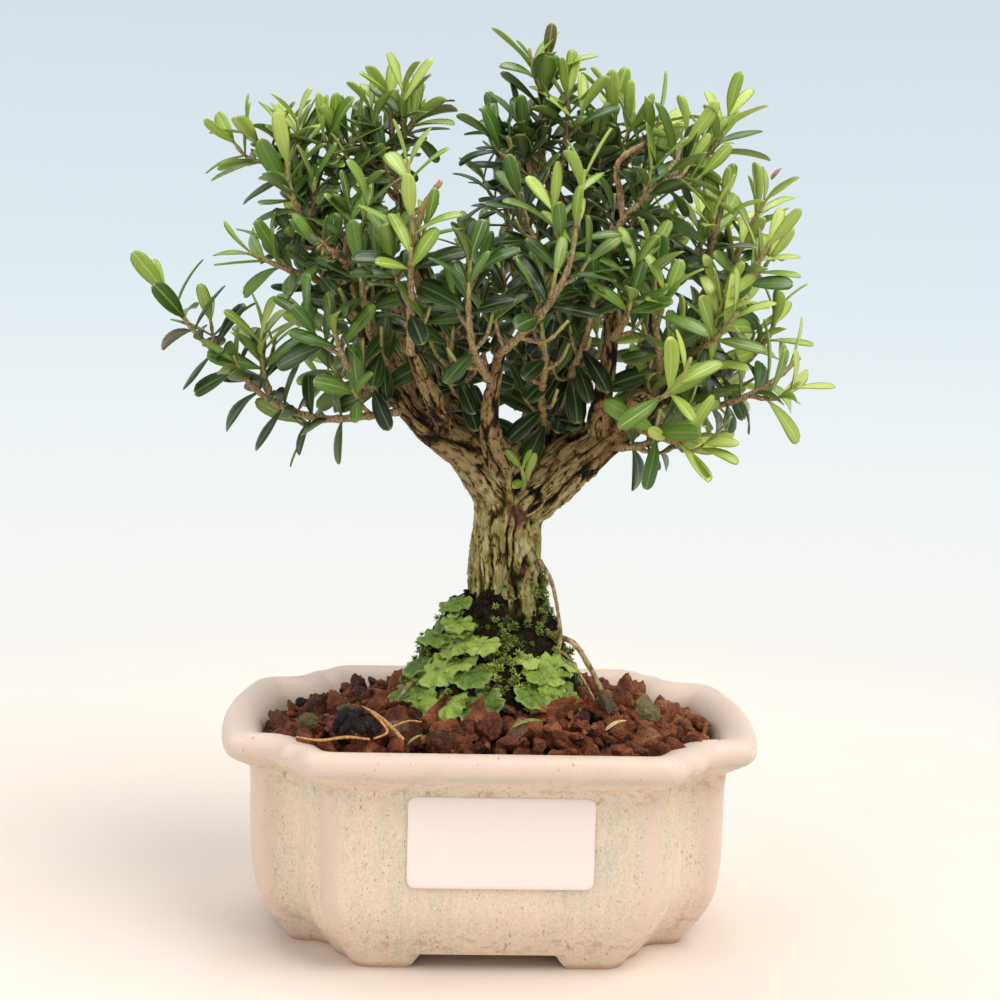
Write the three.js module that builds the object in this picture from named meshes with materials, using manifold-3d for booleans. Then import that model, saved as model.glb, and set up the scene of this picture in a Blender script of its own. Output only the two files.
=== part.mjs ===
// A Harland boxwood bonsai in its glazed pot. Millimetres, +Z up, front towards -Y.
// The pot is centred on the origin in plan and stands on z = 0.
import * as THREE from "three";
import Module from "manifold-3d";

const wasm = await Module();
wasm.setup();

// Pot: a rectangle with stepped-in corners, a flared lip and four corner feet
const RIM_HALF_WIDTH = 77.3;
const RIM_HALF_WIDTH_AT_CORNER = 72.5;
const RIM_HALF_DEPTH = 56.5;
const RIM_HEIGHT = 64.5;
const FRONT_PANEL_HALF = 52.7;
const SIDE_PANEL_HALF = 38;
const NOTCH_HALF_WIDTH = 57.2;
const LIP_OVERHANG = 8;
const WALL = 3.6;
const FOOT_INSET = 17.6;
const FOOT_HEIGHT = 4.9;
const FOOT_THICKNESS = 8;
const FLOOR_TOP = 10;
const FRONT_ARCH = [21.9, 17.7];
const SIDE_ARCH = [11, 8];
const DRAIN_RADIUS = 6.5;
const DRAIN_SPACING = 46;
const ROUND_SIDES = 16;

// The outline narrows as it is inset: the front panel and the notch by this share of the inset,
// and the radii of its corners by this loss for each millimetre
const DRAW_IN = 0.83;
const CORNER_LOSS = 0.1;
const FRONT_CORNER = 7.5;
const NOTCH_CORNER = 7.2;
const SIDE_CORNER = 5.2;

// The pot's profile from the feet up over the lip, then down inside, as [inset, height]
const POT_OUTSIDE = [
  [FOOT_INSET, 0],
  [FOOT_INSET - 2.2, 4.2],
  [FOOT_INSET - 5.4, 9],
  [LIP_OVERHANG + 1.8, 14.5],
  [LIP_OVERHANG + 0.4, 20],
  [LIP_OVERHANG, 30],
  [LIP_OVERHANG, 51.6],
  [LIP_OVERHANG - 1.8, 53.8],
  [1.8, 56.6],
  [0, 59.4],
  [0.6, RIM_HEIGHT - 1.8],
  [3.2, RIM_HEIGHT],
];
const POT_INSIDE = [
  [7.6, RIM_HEIGHT - 1.6],
  [10.6, RIM_HEIGHT - 5.2],
  [LIP_OVERHANG + WALL, 54],
  [LIP_OVERHANG + WALL + 0.4, 22],
  [LIP_OVERHANG + WALL + 5, FLOOR_TOP],
];

// The label and the drain screens
const LABEL = { width: 50, height: 25, corner: 2, thickness: 0.4, centre: [2.6, 38.8] };
const SCREEN = { side: 19, thickness: 1, hole: 5, pitch: 7, count: 2 };

// What touches keeps this gap, and edges shorter than this are closed up
const GAP = 0.3;
const SHORTEST_EDGE = 0.03;

// Soil: a heap of crushed lava that rises to the trunk
const SOIL_EDGE_HEIGHT = 56.5;
const SOIL_CROWN_HEIGHT = 66;
const SOIL_HEAP = { centre: [3, -1], depthScale: 1.15, foot: 62, slope: 40 };
const SOIL_BOTTOM = 2;
const GRANULE_PITCH = 8.3;
const GRANULE_HEIGHT = 3.4;
const GRANULE_SCATTER = 1.3;
const GRANULE_TOP = [0.55, 1.3];
const GRANULE_FOOT = [-0.7, 0.5];

// Foliage
const PAIR_STEP = 4.2;
const LEAF_LENGTH = 14.4;
const LEAF_WIDTH_SHARE = 0.34;
const STEM_RADIUS = [1.05, 0.7];
const STEM_STEP = 16;
const STEM_SIDES = 4;
const BARE_STEM = 3;
const TIP_CLEARANCE = 0.6;
const TIP_LEAF_SIZE = 0.9;
const SPROUT_LEAF_SIZE = 0.6;
const LEAF_SIZE_RANGE = [0.88, 1.12];
const TIP_SPREAD = 30;
const LEAF_SPREAD = [44, 70];
const SPREAD_SCATTER = 14;
const TURN_SCATTER = 24;
const SHOOT_TURN = 37;

const COLOURS = {
  glaze: { color: 0xcfc4ae, roughness: 0.35 },
  screen: { color: 0x2c2c2c, roughness: 0.7 },
  label: { color: 0xf3efec, roughness: 0.55 },
  lava: { color: 0x6e3f2f, roughness: 0.95 },
  bark: { color: 0x8b7550, roughness: 0.9 },
  peat: { color: 0x2f2a18, roughness: 1 },
  liverwort: { color: 0x86b356, roughness: 0.6 },
  leaf: { color: 0x35562c, roughness: 0.4 },
  young: { color: 0x9ccb3e, roughness: 0.45 },
};

const V = (x, y, z) => new THREE.Vector3(x, y, z);

// A number from 0 to 1 that depends only on its two whole numbers
function jitter(index, channel) {
  const wave = Math.sin(index * 127.1 + channel * 311.7) * 43758.5453;
  return wave - Math.floor(wave);
}

const mix = (a, b, t) => a + (b - a) * t;

function solid(points, faces) {
  const vertProperties = new Float32Array(points.flatMap((p) => [p.x, p.y, p.z]));
  const triVerts = new Uint32Array(faces.flat());
  return new wasm.Manifold(new wasm.Mesh({ numProp: 3, vertProperties, triVerts }));
}

// An end ring with more points than this is capped round a point in its middle
const FAN_CAP_SIDES = 5;

// A closed skin over rings of points that go counter-clockwise round the way from first to last.
// A ring of one point closes the end; any other end ring is capped.
function skin(rings) {
  const points = [];
  const faces = [];
  const starts = rings.map((ring) => {
    points.push(...ring);
    return points.length - ring.length;
  });
  for (let i = 1; i < rings.length; i++) {
    const low = rings[i - 1];
    const high = rings[i];
    const count = Math.max(low.length, high.length);
    for (let j = 0; j < count; j++) {
      const k = (j + 1) % count;
      const a = starts[i - 1] + (low.length === 1 ? 0 : j);
      const b = starts[i - 1] + (low.length === 1 ? 0 : k);
      const c = starts[i] + (high.length === 1 ? 0 : j);
      const d = starts[i] + (high.length === 1 ? 0 : k);
      if (a !== b) faces.push([a, b, d]);
      if (c !== d) faces.push([a, d, c]);
      else if (a !== b) faces[faces.length - 1] = [a, b, c];
    }
  }
  cap(rings[0], starts[0], true);
  cap(rings[rings.length - 1], starts[rings.length - 1], false);
  return solid(points, faces);

  function cap(ring, start, reversed) {
    if (ring.length === 1) return;
    if (ring.length <= FAN_CAP_SIDES) {
      for (let j = 2; j < ring.length; j++) {
        faces.push(reversed ? [start, start + j, start + j - 1] : [start, start + j - 1, start + j]);
      }
      return;
    }
    const middle = ring.reduce((sum, p) => sum.add(p), V(0, 0, 0)).divideScalar(ring.length);
    points.push(middle);
    for (let j = 0; j < ring.length; j++) {
      const a = start + j;
      const b = start + ((j + 1) % ring.length);
      faces.push(reversed ? [b, a, points.length - 1] : [a, b, points.length - 1]);
    }
  }
}

function extruded(shape, depth, matrix) {
  const geometry = new THREE.ExtrudeGeometry(shape, { depth, bevelEnabled: false, curveSegments: 2 });
  if (matrix) geometry.applyMatrix4(matrix);
  return fromGeometry(geometry);
}

// A closed three.js geometry as a solid, with its equal points made one
function fromGeometry(geometry) {
  const position = geometry.getAttribute("position");
  const index = geometry.index ? geometry.index.array : [...Array(position.count).keys()];
  const seen = new Map();
  const points = [];
  const place = [...Array(position.count).keys()].map((i) => {
    const p = V().fromBufferAttribute(position, i);
    const key = [p.x, p.y, p.z].map((v) => Math.round(v * 1e4)).join();
    if (!seen.has(key)) {
      seen.set(key, points.length);
      points.push(p);
    }
    return seen.get(key);
  });
  const faces = [];
  for (let i = 0; i < index.length; i += 3) {
    faces.push([place[index[i]], place[index[i + 1]], place[index[i + 2]]]);
  }
  return solid(points, faces.filter(([a, b, c]) => a !== b && b !== c && c !== a));
}

function box(x0, x1, y0, y1, z0, z1) {
  const geometry = new THREE.BoxGeometry(x1 - x0, y1 - y0, z1 - z0);
  geometry.translate((x0 + x1) / 2, (y0 + y1) / 2, (z0 + z1) / 2);
  return fromGeometry(geometry);
}

// A smooth way through a route of [x, y, z, radius], with a frame carried along it
function trace(route) {
  const rows = route.map(([x, y, z, r]) => [x, y, z, r ?? 0]);
  const row = (i) => {
    if (i < 0) return rows[0].map((v, k) => 2 * v - rows[1][k]);
    const last = rows.length - 1;
    if (i > last) return rows[last].map((v, k) => 2 * v - rows[last - 1][k]);
    return rows[i];
  };
  const SUBSTEPS = 6;
  const samples = [];
  for (let i = 0; i < rows.length - 1; i++) {
    for (let s = 0; s < SUBSTEPS; s++) {
      const t = s / SUBSTEPS;
      samples.push(
        row(i).map((p1, k) => {
          const p0 = row(i - 1)[k];
          const p2 = row(i + 1)[k];
          const p3 = row(i + 2)[k];
          const bend = (2 * p0 - 5 * p1 + 4 * p2 - p3) * t * t + (3 * p1 - p0 - 3 * p2 + p3) * t * t * t;
          return 0.5 * (2 * p1 + (p2 - p0) * t + bend);
        }),
      );
    }
  }
  samples.push(rows[rows.length - 1]);
  const points = samples.map(([x, y, z]) => V(x, y, z));
  const radii = samples.map((sample) => sample[3]);
  const tangents = points.map((_, i) => {
    const before = points[Math.max(i - 1, 0)];
    const after = points[Math.min(i + 1, points.length - 1)];
    return after.clone().sub(before).normalize();
  });
  const lengths = [0];
  for (let i = 1; i < points.length; i++) {
    lengths.push(lengths[i - 1] + points[i].distanceTo(points[i - 1]));
  }
  const upright = Math.abs(tangents[0].z) > 0.9;
  let normal = upright ? V(1, 0, 0) : V(0, 0, 1);
  const normals = tangents.map((tangent) => {
    normal = normal.clone().addScaledVector(tangent, -normal.dot(tangent)).normalize();
    return normal;
  });
  return { points, radii, tangents, normals, lengths, length: lengths[lengths.length - 1] };
}

// The place, radius and frame at a distance along a traced way
function at(way, distance) {
  const s = Math.min(Math.max(distance, 0), way.length);
  let i = 0;
  while (i < way.lengths.length - 2 && way.lengths[i + 1] < s) i++;
  const t = (s - way.lengths[i]) / (way.lengths[i + 1] - way.lengths[i]);
  const tangent = way.tangents[i].clone().lerp(way.tangents[i + 1], t).normalize();
  const normal = way.normals[i].clone().lerp(way.normals[i + 1], t);
  normal.addScaledVector(tangent, -normal.dot(tangent)).normalize();
  return {
    point: way.points[i].clone().lerp(way.points[i + 1], t),
    radius: mix(way.radii[i], way.radii[i + 1], t),
    tangent,
    normal,
    side: tangent.clone().cross(normal),
  };
}

function around(frame, sides, radiusAt) {
  return [...Array(sides).keys()].map((j) => {
    const angle = (2 * Math.PI * j) / sides;
    const r = radiusAt(angle);
    return frame.point
      .clone()
      .addScaledVector(frame.normal, r * Math.cos(angle))
      .addScaledVector(frame.side, r * Math.sin(angle));
  });
}

// A round bar along a route, thicker by grow all over
function bar(route, sides, step, grow = 0) {
  const way = trace(route);
  const count = Math.max(2, Math.round(way.length / step));
  const rings = [];
  for (let i = 0; i <= count; i++) {
    const frame = at(way, (way.length * i) / count);
    if (i === 0) frame.point.addScaledVector(frame.tangent, -grow);
    if (i === count) frame.point.addScaledVector(frame.tangent, grow);
    rings.push(around(frame, sides, () => frame.radius + grow));
  }
  return skin(rings);
}

function largest(body) {
  const pieces = body.decompose();
  return pieces.reduce((best, piece) => (piece.volume() > best.volume() ? piece : best));
}

// The pot's outline at an inset from the rim, counter-clockwise, at a height
function outline(inset, height) {
  const frontHalf = FRONT_PANEL_HALF - DRAW_IN * inset;
  const notchX = NOTCH_HALF_WIDTH - DRAW_IN * inset;
  const notchY = SIDE_PANEL_HALF - inset;
  const frontY = RIM_HALF_DEPTH - inset;
  const sideX = RIM_HALF_WIDTH_AT_CORNER - inset;
  const bulge = RIM_HALF_WIDTH - RIM_HALF_WIDTH_AT_CORNER;
  const [front, inner, side] = [FRONT_CORNER, NOTCH_CORNER, SIDE_CORNER].map((r) => r - CORNER_LOSS * inset);
  const bow = (y) => sideX + bulge * (1 - (y / notchY) ** 2);
  const bowY = 0.45 * notchY;
  const quarter = [[bow(bowY), bowY]];
  arc(sideX - side, notchY - side, side, 0, 90, 3);
  arc(notchX + inner, notchY + inner, inner, 270, 180, 2);
  arc(frontHalf - front, frontY - front, front, 0, 90, 3);
  function arc(x, y, r, from, to, steps) {
    for (let i = 0; i < steps; i++) {
      const angle = THREE.MathUtils.degToRad(mix(from, to, i / (steps - 1)));
      quarter.push([x + r * Math.cos(angle), y + r * Math.sin(angle)]);
    }
  }
  const back = [...quarter].reverse().map(([x, y]) => [-x, y]);
  const half = [[bow(0), 0], ...quarter, [0, frontY], ...back];
  const ring = [...half, ...half.map(([x, y]) => [-x, -y])];
  return ring.map(([x, y]) => V(x, y, height));
}

function makePot() {
  const shell = skin([...POT_OUTSIDE, ...POT_INSIDE].map(([inset, z]) => outline(inset, z)));
  const underside = outline(FOOT_INSET + FOOT_THICKNESS, 0);
  const recess = skin([
    underside.map((p) => V(p.x, p.y, -1)),
    underside.map((p) => V(p.x, p.y, FOOT_HEIGHT)),
  ]);
  let pot = shell.subtract(recess).subtract(arch(FRONT_ARCH, false)).subtract(arch(SIDE_ARCH, true));
  for (const side of [-1, 1]) {
    const drill = new THREE.CylinderGeometry(DRAIN_RADIUS, DRAIN_RADIUS, 2 * FLOOR_TOP, ROUND_SIDES);
    drill.rotateX(Math.PI / 2);
    drill.translate((side * DRAIN_SPACING) / 2, 0, FLOOR_TOP);
    pot = pot.subtract(fromGeometry(drill));
  }
  return pot;
}

// The gap between two feet, right through the pot, along Y or along X
function arch([bottomHalf, topHalf], alongX) {
  const reach = 1.3 * RIM_HALF_WIDTH;
  const shape = new THREE.Shape();
  shape.moveTo(-bottomHalf - 1, -1);
  shape.lineTo(bottomHalf + 1, -1);
  shape.lineTo(topHalf, FOOT_HEIGHT);
  shape.lineTo(-topHalf, FOOT_HEIGHT);
  const matrix = new THREE.Matrix4().makeRotationX(Math.PI / 2);
  matrix.setPosition(0, reach, 0);
  if (alongX) matrix.premultiply(new THREE.Matrix4().makeRotationZ(Math.PI / 2));
  return extruded(shape, 2 * reach, matrix);
}

function makeScreen(side) {
  const half = SCREEN.side / 2;
  const x = (side * DRAIN_SPACING) / 2;
  const low = FLOOR_TOP + GAP;
  const holes = [];
  const middle = (SCREEN.count - 1) / 2;
  for (let i = 0; i < SCREEN.count; i++) {
    for (let j = 0; j < SCREEN.count; j++) {
      const west = x + (i - middle) * SCREEN.pitch - SCREEN.hole / 2;
      const south = (j - middle) * SCREEN.pitch - SCREEN.hole / 2;
      holes.push(box(west, west + SCREEN.hole, south, south + SCREEN.hole, low - 1, low + 5));
    }
  }
  const sheet = box(x - half, x + half, -half, half, low, low + SCREEN.thickness);
  return sheet.subtract(wasm.Manifold.union(holes));
}

function makeLabel() {
  const { width, height, corner, thickness, centre } = LABEL;
  const x = width / 2;
  const y = height / 2;
  const card = new THREE.Shape();
  card.moveTo(-x + corner, -y);
  card.lineTo(x - corner, -y);
  card.absarc(x - corner, -y + corner, corner, -Math.PI / 2, 0);
  card.absarc(x - corner, y - corner, corner, 0, Math.PI / 2);
  card.absarc(-x + corner, y - corner, corner, Math.PI / 2, Math.PI);
  card.absarc(-x + corner, -y + corner, corner, Math.PI, 1.5 * Math.PI);
  const wall = RIM_HALF_DEPTH - LIP_OVERHANG;
  const matrix = new THREE.Matrix4().makeRotationX(Math.PI / 2);
  matrix.setPosition(centre[0], -wall - GAP, centre[1]);
  return extruded(card, thickness, matrix);
}

// Wood: routes of [x, y, z, radius] from the root up
const TRUNK = [
  [4, 0, 34, 9],
  [4, 0, 56, 15],
  [4.5, 0, 68, 15.5],
  [4.5, 0, 80, 12.5],
  [4, 0, 92, 10.8],
  [4, 0, 106, 10.1],
  [4.2, 0, 118, 9.7],
  [5, 0, 127, 10.2],
  [6, 0, 136, 10.4],
];
const LIMBS = {
  left: [
    [3, -1, 127, 8.5], [-6, -5, 139, 7], [-17, -9, 147, 5.8], [-25, -9, 155, 5.2], [-31, -8, 163, 4.8],
    [-37, -5, 174, 3.6], [-44, -1, 185, 3.6], [-47, 0, 198, 2.4], [-49, 2, 210, 1.4],
  ],
  leftInner: [
    [2, 3, 132, 6.5], [-4, 9, 145, 4.8], [-12, 14, 158, 3.9], [-18, 15, 174, 3.1], [-23, 12, 192, 2.4],
    [-27, 8, 207, 1.8], [-29, 5, 217, 1.2],
  ],
  leftFront: [
    [-15, -8, 146, 3.8], [-17, -23, 154, 2.7], [-21, -33, 162, 2.1], [-24, -39, 170, 1.5],
  ],
  leftBack: [
    [-8, -4, 141, 5.2], [-16, 14, 152, 3.9], [-24, 31, 166, 3.1], [-31, 41, 183, 2.4], [-36, 45, 198, 1.6],
  ],
  leftLow: [
    [-16, 14, 152, 2.8], [-27, 32, 155, 2.1], [-38, 47, 160, 1.4],
  ],
  frontMiddle: [
    [3, -4, 133, 4.5], [-2, -20, 147, 2.7], [-2, -31, 159, 2], [0, -37, 170, 1.5],
  ],
  centre: [
    [9, 2, 130, 8.6], [15, 5, 143, 6.6], [20, 8, 155, 5.2], [22, 8, 169, 4.2], [23, 5, 184, 3.4],
    [22, 2, 198, 2.7], [17, 0, 210, 2], [12, 0, 221, 1.3],
  ],
  centreBack: [
    [11, 7, 138, 5.5], [14, 27, 154, 4], [13, 41, 172, 3], [8, 49, 190, 2.2], [5, 51, 205, 1.4],
  ],
  right: [
    [8, -1, 126, 9], [19, -4, 135, 7.4], [27, -6, 142, 6.5], [36, -6, 149, 5.8], [43, -5, 156, 5],
    [49, -3, 164, 4], [54, -1, 173, 3.2], [58, -4, 182, 2.6], [60, -7, 189, 1.6],
  ],
  rightBack: [
    [26, -3, 141, 5.2], [40, 19, 154, 3.6], [47, 34, 169, 2.9], [51, 44, 185, 2.2], [51, 47, 199, 1.5],
  ],
  rightFront: [
    [35, -7, 148, 4], [36, -21, 154, 2.6], [37, -34, 157, 2], [39, -43, 157, 1.5],
  ],
  rightMiddle: [
    [29, -6, 143, 4.2], [29, -17, 157, 2.8], [30, -25, 171, 2.1], [29, -29, 182, 1.6],
  ],
  lowBack: [
    [22, 0, 138, 4.5], [24, 22, 146, 3], [28, 42, 154, 2.2], [31, 55, 164, 1.5],
  ],
};
const AERIAL_ROOTS = [
  [
    [8, -3, 114.5, 1.4], [13, -4.8, 109, 1], [16.8, -6.7, 103.2, 0.75], [19.1, -8.6, 93.7, 0.7],
    [19.7, -10, 86, 0.75], [17.7, -9.6, 78.4, 0.9], [13.4, -7.6, 70.7, 1],
  ],
  [
    [8.6, -2.9, 88.9, 1.4], [16.3, -6.7, 87.5, 1.2], [21, -8.6, 86.6, 1.1], [24.5, -9.8, 84.7, 1.1],
    [28.1, -10.5, 79.3, 1.05], [31, -11.1, 74, 1], [33.5, -11.5, 67.9, 0.95], [35.4, -11.9, 58, 0.9],
  ],
  [
    [8.6, -3.8, 84.1, 1.1], [16.3, -8.6, 83.7, 0.8], [21.5, -11.1, 82.2, 0.65], [25, -13, 77.8, 0.6],
    [27.9, -14.3, 73.2, 0.6], [30.4, -15.3, 67.9, 0.55], [31.9, -15.7, 58, 0.55],
  ],
  [
    [-2.9, -2.9, 80.3, 1.2], [-13.4, -9.2, 79, 1], [-20.6, -13, 75.5, 0.8], [-24.5, -14, 71.7, 0.7],
    [-27.3, -13.8, 66.9, 0.65], [-28.7, -13.4, 58, 0.6],
  ],
];

// The trunk's bark stands in long ridges over shallow lumps, and its foot spreads in three buttresses.
// Heights are shares of the trunk's radius.
const BARK = { sides: 18, step: 10, ridge: 0.06, lump: 0.05, buttress: 0.1, buttressRings: 5 };

function trunkBody(grow) {
  const way = trace(TRUNK);
  const { sides } = BARK;
  const count = Math.round(way.length / BARK.step);
  const rings = [];
  for (let i = 0; i <= count; i++) {
    const frame = at(way, (way.length * i) / count);
    if (i === 0) frame.point.z -= grow;
    rings.push(
      around(frame, sides, (angle) => {
        const j = Math.round((angle * sides) / (2 * Math.PI));
        const ridge = j % 2 === 0 ? BARK.ridge : -BARK.ridge;
        const lump = BARK.lump * (jitter(j + i * sides, 1) - 0.5);
        const fade = Math.max(0, 1 - i / BARK.buttressRings);
        const buttress = BARK.buttress * fade * Math.cos(3 * angle + 1);
        return frame.radius * (1 + ridge + lump + buttress) + grow;
      }),
    );
  }
  return skin(rings);
}

// A limb that starts thicker than this gets more sides
const THICK_LIMB = 6;

function makeWood(grow) {
  const parts = [trunkBody(grow)];
  for (const route of Object.values(LIMBS)) {
    const [sides, step] = route[0][3] > THICK_LIMB ? [8, 13] : [6, 15];
    parts.push(bar(route, sides, step, grow));
  }
  const [rootSides, rootStep] = [4, 11];
  for (const route of AERIAL_ROOTS) parts.push(bar(route, rootSides, rootStep, grow));
  return largest(wasm.Manifold.union(parts));
}

// The mound of moss and dark peat round the foot of the trunk: rings of
// [height, half width, half depth, shift along X, shift along Y], roughened sideways and up
const MOUND_SIDES = 15;
const MOUND_LUMP = 0.13;
const MOUND_WAVE = 1.6;
const MOUND = [
  [60, 25, 23, 1, 0],
  [68, 26, 23.5, 1, -1],
  [75, 24, 20.5, 1, -1],
  [82, 20.5, 16.5, 1.5, 0],
  [89, 16.5, 14, 2, 0],
  [96, 12.5, 12, 3, 0],
  [99, 10.8, 10.8, 4, 0],
];

function moundBody(grow) {
  const sides = MOUND_SIDES;
  const rings = MOUND.map(([z, halfX, halfY, shiftX, shiftY], i) => {
    const height = i === 0 ? z - grow : z + (i === MOUND.length - 1 ? grow : 0);
    return [...Array(sides).keys()].map((j) => {
      const angle = (2 * Math.PI * j) / sides;
      const lump = 1 + MOUND_LUMP * (jitter(j + i * sides, 2) - 0.5);
      const wave = i > 0 ? MOUND_WAVE * (jitter(j + i * sides, 3) - 0.5) : 0;
      const x = shiftX + (halfX * lump + grow) * Math.cos(angle);
      const y = shiftY + (halfY * lump + grow) * Math.sin(angle);
      return V(x, y, height + wave);
    });
  });
  return skin(rings);
}

// Liverwort: lobed plates that lie on the mound like shingles, [angle in degrees, height, radius]
const LIVERWORT = {
  left: [
    [201, 71, 6.4], [219, 70, 7.2], [240, 69.5, 7.4], [262, 70, 6.6],
    [206, 78.5, 6.4], [228, 77.5, 7], [252, 77.5, 6.6],
    [210, 85.5, 6], [233, 85, 6], [257, 85, 5.4], [208, 89.5, 4.9], [230, 90, 5],
  ],
  right: [
    [292, 72.5, 5.4], [306, 71.5, 5.8], [321, 72.5, 5.4], [299, 78.5, 5.2], [315, 79, 5.4], [328, 79, 4.4],
  ],
};

function moundPlace(angle, z) {
  let i = 0;
  while (i < MOUND.length - 2 && MOUND[i + 1][0] < z) i++;
  const t = (z - MOUND[i][0]) / (MOUND[i + 1][0] - MOUND[i][0]);
  const [, halfX, halfY, shiftX, shiftY] = MOUND[i].map((v, k) => mix(v, MOUND[i + 1][k], t));
  const slope = (MOUND[i][1] - MOUND[i + 1][1]) / (MOUND[i + 1][0] - MOUND[i][0]);
  const point = V(shiftX + halfX * Math.cos(angle), shiftY + halfY * Math.sin(angle), z);
  const out = V(Math.cos(angle), Math.sin(angle), Math.max(slope, 0)).normalize();
  return { point, out };
}

// Each plate has four or five lobes round its free edge, a crowned face and a pointed back.
// It stands off the mound, tilts up a little, and droops towards its rim by a share of its radius.
const PLATE = { standOff: 2.4, tilt: 0.08, back: 1.5, crown: 0.7, droop: 0.06 };
const LOBE_LIFT = 0.5;
const NOTCH_DROP = 0.1;
const LOBE_REACH = 1.04;
const NOTCH_REACH = 0.8;
const LOBE_RANGE = [0.92, 1.08];

function plate(degrees, z, radius, index, grow) {
  const { point, out } = moundPlace(THREE.MathUtils.degToRad(degrees), z);
  const lift = out.clone().add(V(0, 0, PLATE.tilt)).normalize();
  const across = V(0, 0, 1).cross(lift).normalize();
  const up = lift.clone().cross(across);
  const centre = point.addScaledVector(out, PLATE.standOff);
  const lobes = 4 + (index % 2);
  const sides = 2 * lobes;
  const rim = [...Array(sides).keys()].map((j) => {
    const angle = (2 * Math.PI * j) / sides;
    const reach = (j % 2 ? NOTCH_REACH : LOBE_REACH) * mix(...LOBE_RANGE, jitter(index * 31 + j, 4));
    const r = radius * reach + grow;
    const rise = (j % 2 ? -NOTCH_DROP : LOBE_LIFT) - PLATE.droop * radius;
    return centre
      .clone()
      .addScaledVector(across, r * Math.cos(angle))
      .addScaledVector(up, r * Math.sin(angle))
      .addScaledVector(lift, rise);
  });
  return skin([
    [centre.clone().addScaledVector(lift, -PLATE.back - grow)],
    rim,
    [centre.clone().addScaledVector(lift, PLATE.crown + grow)],
  ]);
}

function makeLiverwort(side, grow, cutters) {
  const plates = LIVERWORT[side].map(([degrees, z, r], i) => plate(degrees, z, r, i, grow));
  let body = wasm.Manifold.union(plates);
  for (const cutter of cutters) body = body.subtract(cutter);
  return largest(body);
}

// How high the soil lies without its granules
function soilHeight(x, y) {
  const { centre, depthScale, foot, slope } = SOIL_HEAP;
  const distance = Math.hypot(x - centre[0], (y - centre[1]) * depthScale);
  const rise = THREE.MathUtils.smoothstep(foot - distance, 0, slope);
  return mix(SOIL_EDGE_HEIGHT, SOIL_CROWN_HEIGHT, rise);
}

// Granules as relief: on a grid of triangles every third point is a granule's top, the rest its foot
function granuleField() {
  const spacing = GRANULE_PITCH / Math.sqrt(3);
  const rowStep = spacing * (Math.sqrt(3) / 2);
  const columns = Math.ceil((2 * RIM_HALF_WIDTH) / spacing);
  const rows = Math.ceil((2 * RIM_HALF_DEPTH) / rowStep);
  const points = [];
  const scatter = (index, channel) => GRANULE_SCATTER * (jitter(index, channel) - 0.5);
  for (let row = 0; row <= rows; row++) {
    for (let column = 0; column <= columns; column++) {
      const index = row * (columns + 1) + column;
      const top = (column + 2 * (row % 2)) % 3 === 0;
      const x = -RIM_HALF_WIDTH + (column + (row % 2) / 2) * spacing + scatter(index, 5);
      const y = -RIM_HALF_DEPTH + row * rowStep + scatter(index, 6);
      const height = GRANULE_HEIGHT * mix(...GRANULE_TOP, jitter(index, 7));
      const lift = top ? height : mix(...GRANULE_FOOT, jitter(index, 8));
      points.push(V(x, y, soilHeight(x, y) + lift));
    }
  }
  const count = points.length;
  points.push(...points.map((p) => V(p.x, p.y, SOIL_BOTTOM)));
  const faces = [];
  const place = (row, column) => row * (columns + 1) + column;
  for (let row = 0; row < rows; row++) {
    for (let column = 0; column < columns; column++) {
      const [a, b] = [place(row, column), place(row, column + 1)];
      const [c, d] = [place(row + 1, column), place(row + 1, column + 1)];
      const pair = row % 2 ? [[a, b, d], [a, d, c]] : [[a, b, c], [b, d, c]];
      for (const [p, q, r] of pair) {
        faces.push([p, q, r]);
        faces.push([p + count, r + count, q + count]);
      }
    }
  }
  const side = (p, q) => faces.push([p, p + count, q + count], [p, q + count, q]);
  for (let column = 0; column < columns; column++) {
    side(place(0, column), place(0, column + 1));
    side(place(rows, column + 1), place(rows, column));
  }
  for (let row = 0; row < rows; row++) {
    side(place(row + 1, 0), place(row, 0));
    side(place(row, columns), place(row + 1, columns));
  }
  return solid(points, faces);
}

function makeSoil(cutters) {
  const inset = LIP_OVERHANG + WALL + 2 * GAP;
  const room = skin([
    outline(inset + 5.1, FLOOR_TOP + 2 * GAP + SCREEN.thickness),
    outline(inset + 0.6, 23),
    outline(inset, 53),
    outline(inset, 90),
  ]);
  let body = granuleField().intersect(room);
  for (const cutter of cutters) body = body.subtract(cutter);
  return largest(body);
}

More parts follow.
